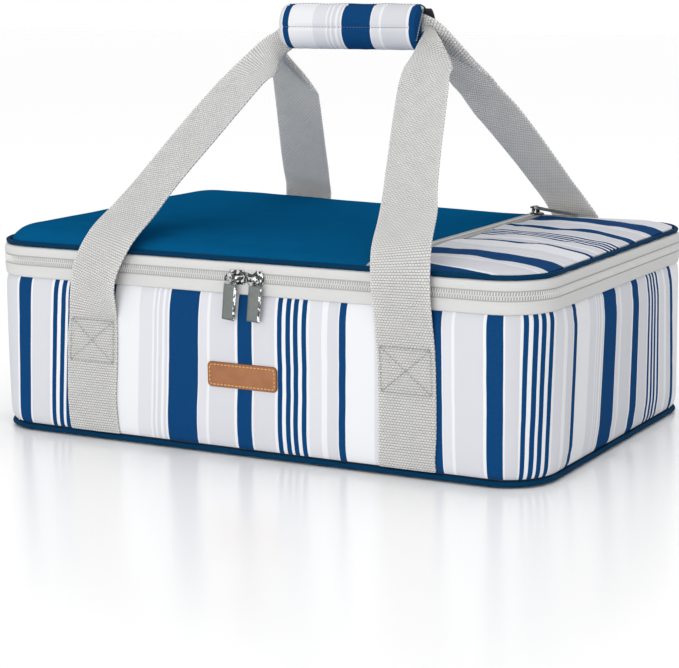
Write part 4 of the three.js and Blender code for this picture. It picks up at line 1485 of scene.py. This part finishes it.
def label():
    """The bare leather label, with its pressed edge and its row of stitches."""
    low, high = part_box("leather_label")
    middle = np.array([(low.x + high.x) / 2, high.y, (low.z + high.z) / 2])
    half_x, half_z = (high.x - low.x) / 2, (high.z - low.z) / 2
    a, b = np.array([1, 0, 0]), np.array([0, 0, 1])
    shape = Shape()
    plate(shape, lambda inset: rounded_loop(half_x, half_z, LABEL_CORNER, inset), middle, a, b,
          LABEL_RISES)
    placed(shape.build("label", FINISH["leather"]), "tub", "leather", "leather_label")
    line = closed(rounded_loop(half_x, half_z, LABEL_CORNER, LABEL_STITCH_INSET))
    run = run_along(line)
    count = round(run[-1] / LABEL_STITCH)
    ends = []
    for k in range(count):
        pair = []
        for share in LABEL_STITCH_SHARES:
            spot = [np.interp((k + share) / count * run[-1], run, line[:, axis]) for axis in (0, 1)]
            pair.append(middle + spot[0] * a + spot[1] * b + [0, -LABEL_STITCH_HEIGHT, 0])
        ends.append(pair)
    stitches("label_stitching", ends, (0, -1, 0), 0.42 * MM, 0.0, "tan_thread", "tub", "leather")


# Zip sliders and pulls. Sections go from the edge in, in millimetres.
SLIDER_HALF = (6.4 * MM, 4.5 * MM)
SLIDER_RISES = ((0.3, 0), (0, 0.35), (0, 0.9), (0.35, 1.3), (1.0, 1.5), (2.0, 1.55))
PULL_RISES = ((0.25, 0), (0, 0.25), (0, 0.8), (1.3, 1.4), (1.5, 1.4))
MAIN_RISE = 3.3 * MM
POCKET_RISE = 4.6 * MM
MAIN_PULL = (9.4 * MM, 27.5 * MM)
POCKET_PULL = (7 * MM, 34 * MM)
MAIN_PIVOT_Y = -141.7 * MM
POCKET_PIVOT = (POCKET_X, 113.5 * MM, 139.4 * MM)
MAIN_TILT = math.tan(math.radians(5.5))
POCKET_DROOP = math.radians(6.6)


def slider(name, origin, travel, across, rise, node):
    """A cast slider: its body, the two folded rims over the coil, and a bridge for the pull, which
    rises that far. Its body in the frame has its node's name."""
    origin, travel, across = vectors_of(origin, travel, across)
    up = np.cross(travel, across)
    shape = Shape()

    def outline_at(inset):
        t = around(40)
        c, s = np.cos(t), np.sin(t)
        waist = 1 - 0.16 * np.exp(-((c + 0.25) / 0.3) ** 2)
        return np.stack([(SLIDER_HALF[0] - inset) * np.sign(c) * np.abs(c) ** 0.7,
                         (SLIDER_HALF[1] - inset) * waist * np.sign(s) * np.abs(s) ** 0.7], -1)

    plate(shape, outline_at, origin, travel, across, SLIDER_RISES)
    for hand in (-1, 1):
        rim = [origin + travel * x * MM + across * hand * (4.15 - 0.3 * abs(x) / 5) * MM + up * 0.2 * MM
               for x in np.linspace(-5.2, 5.2, 9)]
        rod(shape, rim, 0.75 * MM, up)
    foot = origin + up * 1.3 * MM
    bridge = [foot + travel * x * MM + up * rise * (1 - abs(x / 4.6) ** 3.2)
              for x in np.linspace(-4.6, 4.6, 25)]
    rod(shape, bridge, 1.5 * MM, across, 0.5)
    placed(shape.build(name, FINISH["metal"], 50), node, "metal", node)


def pull(name, pivot, hang, normal, size, node):
    """A zip pull: a loop round the slider's bridge and a flat bar with bevelled edges. Reflections are
    painted on the bar: its faces and one edge take the darker metal, the other edge the bright one.
    """
    width, length = size
    pivot, hang, normal = vectors_of(pivot, hang, normal)
    hang = unit(hang)
    side = np.cross(normal, hang)
    half = width / 2
    rod_gap = 0.9 * MM
    eye = half - rod_gap
    left, right = (pivot + side * eye * hand for hand in (-1, 1))
    top = pivot - hang * 1.6 * MM
    ring = [left + hang * 6 * MM, left + hang * 3 * MM, left]
    ring += [top - side * (eye - rod_gap), top, top + side * (eye - rod_gap)]
    ring += [right, right + hang * 3 * MM, right + hang * 6 * MM]
    shape = Shape()
    rod(shape, ring, 0.7 * MM, normal)
    eye_long = 4.4 * MM
    tall = (length - eye_long) / 2
    middle = pivot + hang * (eye_long + tall) - normal * 0.75 * MM
    plate(shape, lambda inset: rounded_loop(half, tall, 0.6 * MM, inset), middle, side, -hang, PULL_RISES)
    bar = shape.build(name, FINISH["metal"], 30)
    bar.data.materials.append(FINISH["dark_reflection_metal"])
    # painted reflections: on the bar, the faces and the edge turned away from side take the darker metal,
    # and the edge facing side keeps the bright one
    for face in bar.data.polygons:
        bar_face = (Vector(pivot + hang * 4.3 * MM) - face.center).dot(Vector(hang)) < 0
        face.material_index = 1 if bar_face and face.normal.dot(Vector(side)) < 0.4 else 0
    placed(bar, node, "metal", node)


def metalwork():
    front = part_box("slider_left")[1].y
    for hand in ("left", "right"):
        origin = (middle_of(f"slider_{hand}")[0], front, SPLIT)
        slider(f"zip_slider_{hand}", origin, (1, 0, 0), (0, 0, 1), MAIN_RISE, f"slider_{hand}")
        pivot = (middle_of(f"pull_{hand}")[0], MAIN_PIVOT_Y, SPLIT)
        pull(f"zip_pull_{hand}", pivot, (-MAIN_TILT, 0, -1), (0, -1, 0), MAIN_PULL, f"pull_{hand}")
    y = middle_of("pocket_slider")[1]
    base = float(lid_top(np.array(POCKET_X), np.array(y)))
    slider("pocket_zip_slider", (POCKET_X, y, base + 0.3 * MM), (0, -1, 0), (1, 0, 0), POCKET_RISE,
           "pocket_slider")
    c, s = math.cos(POCKET_DROOP), math.sin(POCKET_DROOP)
    pull("pocket_zip_pull", POCKET_PIVOT, (c, 0, -s), (s, 0, c), POCKET_PULL, "pocket_pull")


# Inside and underneath
DISH_STEP = 6 * MM
FLOOR_INSET = 30 * MM
LINER_INSET = 9.4 * MM
LINER_BEND = 9 * MM
LINER_THICK = 0.6 * MM
FOAM_INSET = 8.25 * MM
FOAM_FLOOR = 11.4 * MM
LID_DIP = -1.6 * MM


def dish(name, finish, profile, body, slot, node, seed=None, soft=0.0):
    """A closed form turned round the body. Each place of its profile is (how far in, share of that
    outline's size, height)."""
    along = round_body(DISH_STEP)
    places, normals = outline(along[:-1])
    uneven = wrinkle(seed or 1, (83 * MM, soft), (31 * MM, soft * 0.4))
    rings = []
    for inset, share, height in profile:
        flat = (places - normals * inset) * share
        lift = uneven(flat[:, 0] + height, flat[:, 1] - height) if seed else 0 * flat[:, 0]
        calm = ease(0, 12 * MM, WALL_TOP - 3 * MM - height) if height > 20 * MM else 1.0
        moved = flat - normals * (np.abs(lift) * calm)[:, None] * (share == 1)
        rings.append(np.insert(moved, 2, height + lift * (share < 1), axis=1))
    points = np.swapaxes(np.array(rings), 0, 1)
    run = run_along(np.array([(i * s + (1 - s) * HALF_DEPTH, z) for i, s, z in profile]))
    shape = Shape()
    shape.grid(points, cloth_net(along, run), wrap_rows=True)
    for ring in (points[:, 0], points[::-1, -1]):
        shape.add(ring, [list(range(len(ring)))], [(0, 0)] * len(ring))
    piece = shape.build(name, FINISH[finish])
    face_outwards(piece.data, joined=1e-6)
    placed(piece, body, slot, node)


def inward(height, dip=0.0):
    """Profile places from an outline towards the middle of a floor or ceiling."""
    return [(FLOOR_INSET, share, height + dip * (1 - share * share)) for share in np.linspace(1, 0.03, 9)]


def tub_insides():
    low, top = heights_of("tub_liner")
    floor_top = low + 0.8 * MM
    bend_top = floor_top + LINER_BEND
    skin = [(LINER_INSET, 1, z) for z in np.linspace(top, bend_top, 14)]
    skin += [(LINER_INSET + 8 * MM * (1 - math.cos(t)), 1, bend_top - 8.6 * MM * math.sin(t))
             for t in np.linspace(0.2, 1.5, 6)]
    skin += inward(floor_top + 0.4 * MM, dip=-0.2 * MM)
    back = []
    for inset, share, height in skin:
        flat = np.clip((bend_top - height) / (8 * MM), 0, 1)
        back.append((inset - LINER_THICK * (1 - flat), share, height - LINER_THICK * flat))
    dish("silver_lining", "lining", skin[::-1] + back, "tub", "lining", "tub_liner", 21, 0.35 * MM)
    top = heights_of("tub_foam")[1]
    outer = [(wall_inset(min(z, WALL_TOP)) + SKIN + 0.4 * MM, 1, z)
             for z in np.linspace(top, WALL_FOOT + 0.1 * MM, 20)]
    inner = [(FOAM_INSET, 1, z) for z in (12 * MM, 60 * MM, top)]
    foam = inward(FOAM_FLOOR)[::-1] + inner + outer + inward(WALL_FOOT)
    dish("tub_padding", "foam", foam, "tub", "foam", "tub_foam")


def lid_insides():
    low, high = heights_of("lid_liner")
    under = inward(low, LID_DIP)[::-1]
    edge = [(12 * MM, 1, low), (2 * MM, 1, low), (1.4 * MM, 1, low + 0.4 * MM)]
    top = [(2 * MM, 1, high)] + inward(high, LID_DIP)
    dish("lid_lining", "lining", under + edge + top, "lid", "lining", "lid_liner", 23, 0.25 * MM)


def bottom():
    low, high = heights_of("bottom_panel")
    under = inward(low)[::-1] + [(5.5 * MM, 1, low), (4.6 * MM, 1, low + 0.5 * MM)]
    over = [(4.6 * MM, 1, high - 0.3 * MM), (5.5 * MM, 1, high)] + inward(high)
    dish("bottom_cloth", "navy_piping", under + over, "tub", "navy_fabric", "bottom_panel")


def rim():
    """The binding over the rim, a flattened round in section."""
    low, high = heights_of("rim_binding")
    middle, half = (low + high) / 2, (high - low) / 2
    section = [(5.35 * MM - 4.0 * MM * np.sign(np.cos(t)) * abs(np.cos(t)) ** 0.35,
                middle + half * np.sign(np.sin(t)) * abs(np.sin(t)) ** 0.5) for t in around(24)]
    placed(ring_piece(section).build("rim_tape", FINISH["grey_band"]), "tub", "grey_band", "rim_binding")


def finishes():
    """Every finish, by name."""
    return {
        "wall": striped_cloth("wall_stripes", FRONT_START),
        "pocket": striped_cloth("pocket_stripes", -81.8 * MM, 0.97),
        "grip_stripes": striped_cloth("grip_stripes", -GRIP_HALF - 65.7 * MM, 0.975),
        "navy_piping": plain_cloth("navy_piping", (0.0015, 0.034, 0.088), 0.8 * MM, 0.7),
        "lid": plain_cloth("lid_blue", (0.002, 0.085, 0.212), 0.9 * MM, 0.62, 0.1, shine=0.0),
        "grey_band": plain_cloth("grey_band", (0.585, 0.585, 0.58), 0.8 * MM, 0.6, 0.03, 0.06 * MM),
        "zip_tape": plain_cloth("zip_tape", (0.4, 0.4, 0.395), 0.7 * MM, 0.7, 0.03, 0.06 * MM),
        "webbing": webbing_cloth(),
        "lining": lining_sheet(),
        "foam": foam_block(),
        "closure": closure_cloth(),
        "leather": leather_hide(),
        "metal": plated_metal(),
        "dark_reflection_metal": brushed_metal(),
        "coil": coil_plastic(),
        "grey_thread": thread("grey_thread", (0.33, 0.33, 0.32)),
        "tan_thread": thread("tan_thread", (0.72, 0.45, 0.16)),
        "dark_thread": thread("dark_thread", (0.12, 0.14, 0.18)),
        "pale_thread": thread("pale_thread", (0.66, 0.66, 0.65)),
    }


def keep_node(name, material):
    """Gives a node of the frame that stays hidden inside its own finish."""
    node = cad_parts[name]
    node.data.materials.clear()
    node.data.materials.append(material)


camera()
studio()
floor()
FINISH = finishes()
wall()
piping("foot_piping", FOOT_PIPING, 0.6 * MM, "tub", "bottom_piping", 11)
piping("edge_piping", LID_PIPING, 0.85 * MM, "lid", "lid_piping", 12)
band("lower_zip_band", *LOWER_BAND, "tub", "lower_band")
band("upper_zip_band", *UPPER_BAND[::-1], "lid", "upper_band")
tape("lower_zip_tape", LOWER_TAPE, "tub", "zip_lower")
tape("upper_zip_tape", UPPER_TAPE, "lid", "zip_upper")
coil("lower_coil", LOWER_TAPE[1], -1, "tub")
coil("upper_coil", UPPER_TAPE[0], 1, "lid")
hinge()
lid_panels()
pocket_zip()
FACES = ((-1, "front"), (1, "rear"))
for side, face in FACES:
    nodes = [f"{face}_strap", f"{face}_anchor_left", f"{face}_anchor_right"]
    strap(side, f"{face}_webbing", nodes)
for side, face in FACES:
    for sign, hand in ((-1, "left"), (1, "right")):
        anchor_stitching(side, sign, f"{face}_box_stitch_{hand}")
grip()
label()
metalwork()
tub_insides()
lid_insides()
bottom()
rim()
keep_node("stiffener_board", grey_board())
keep_node("lid_foam", FINISH["foam"])
keep_node("lid_backing", FINISH["navy_piping"])
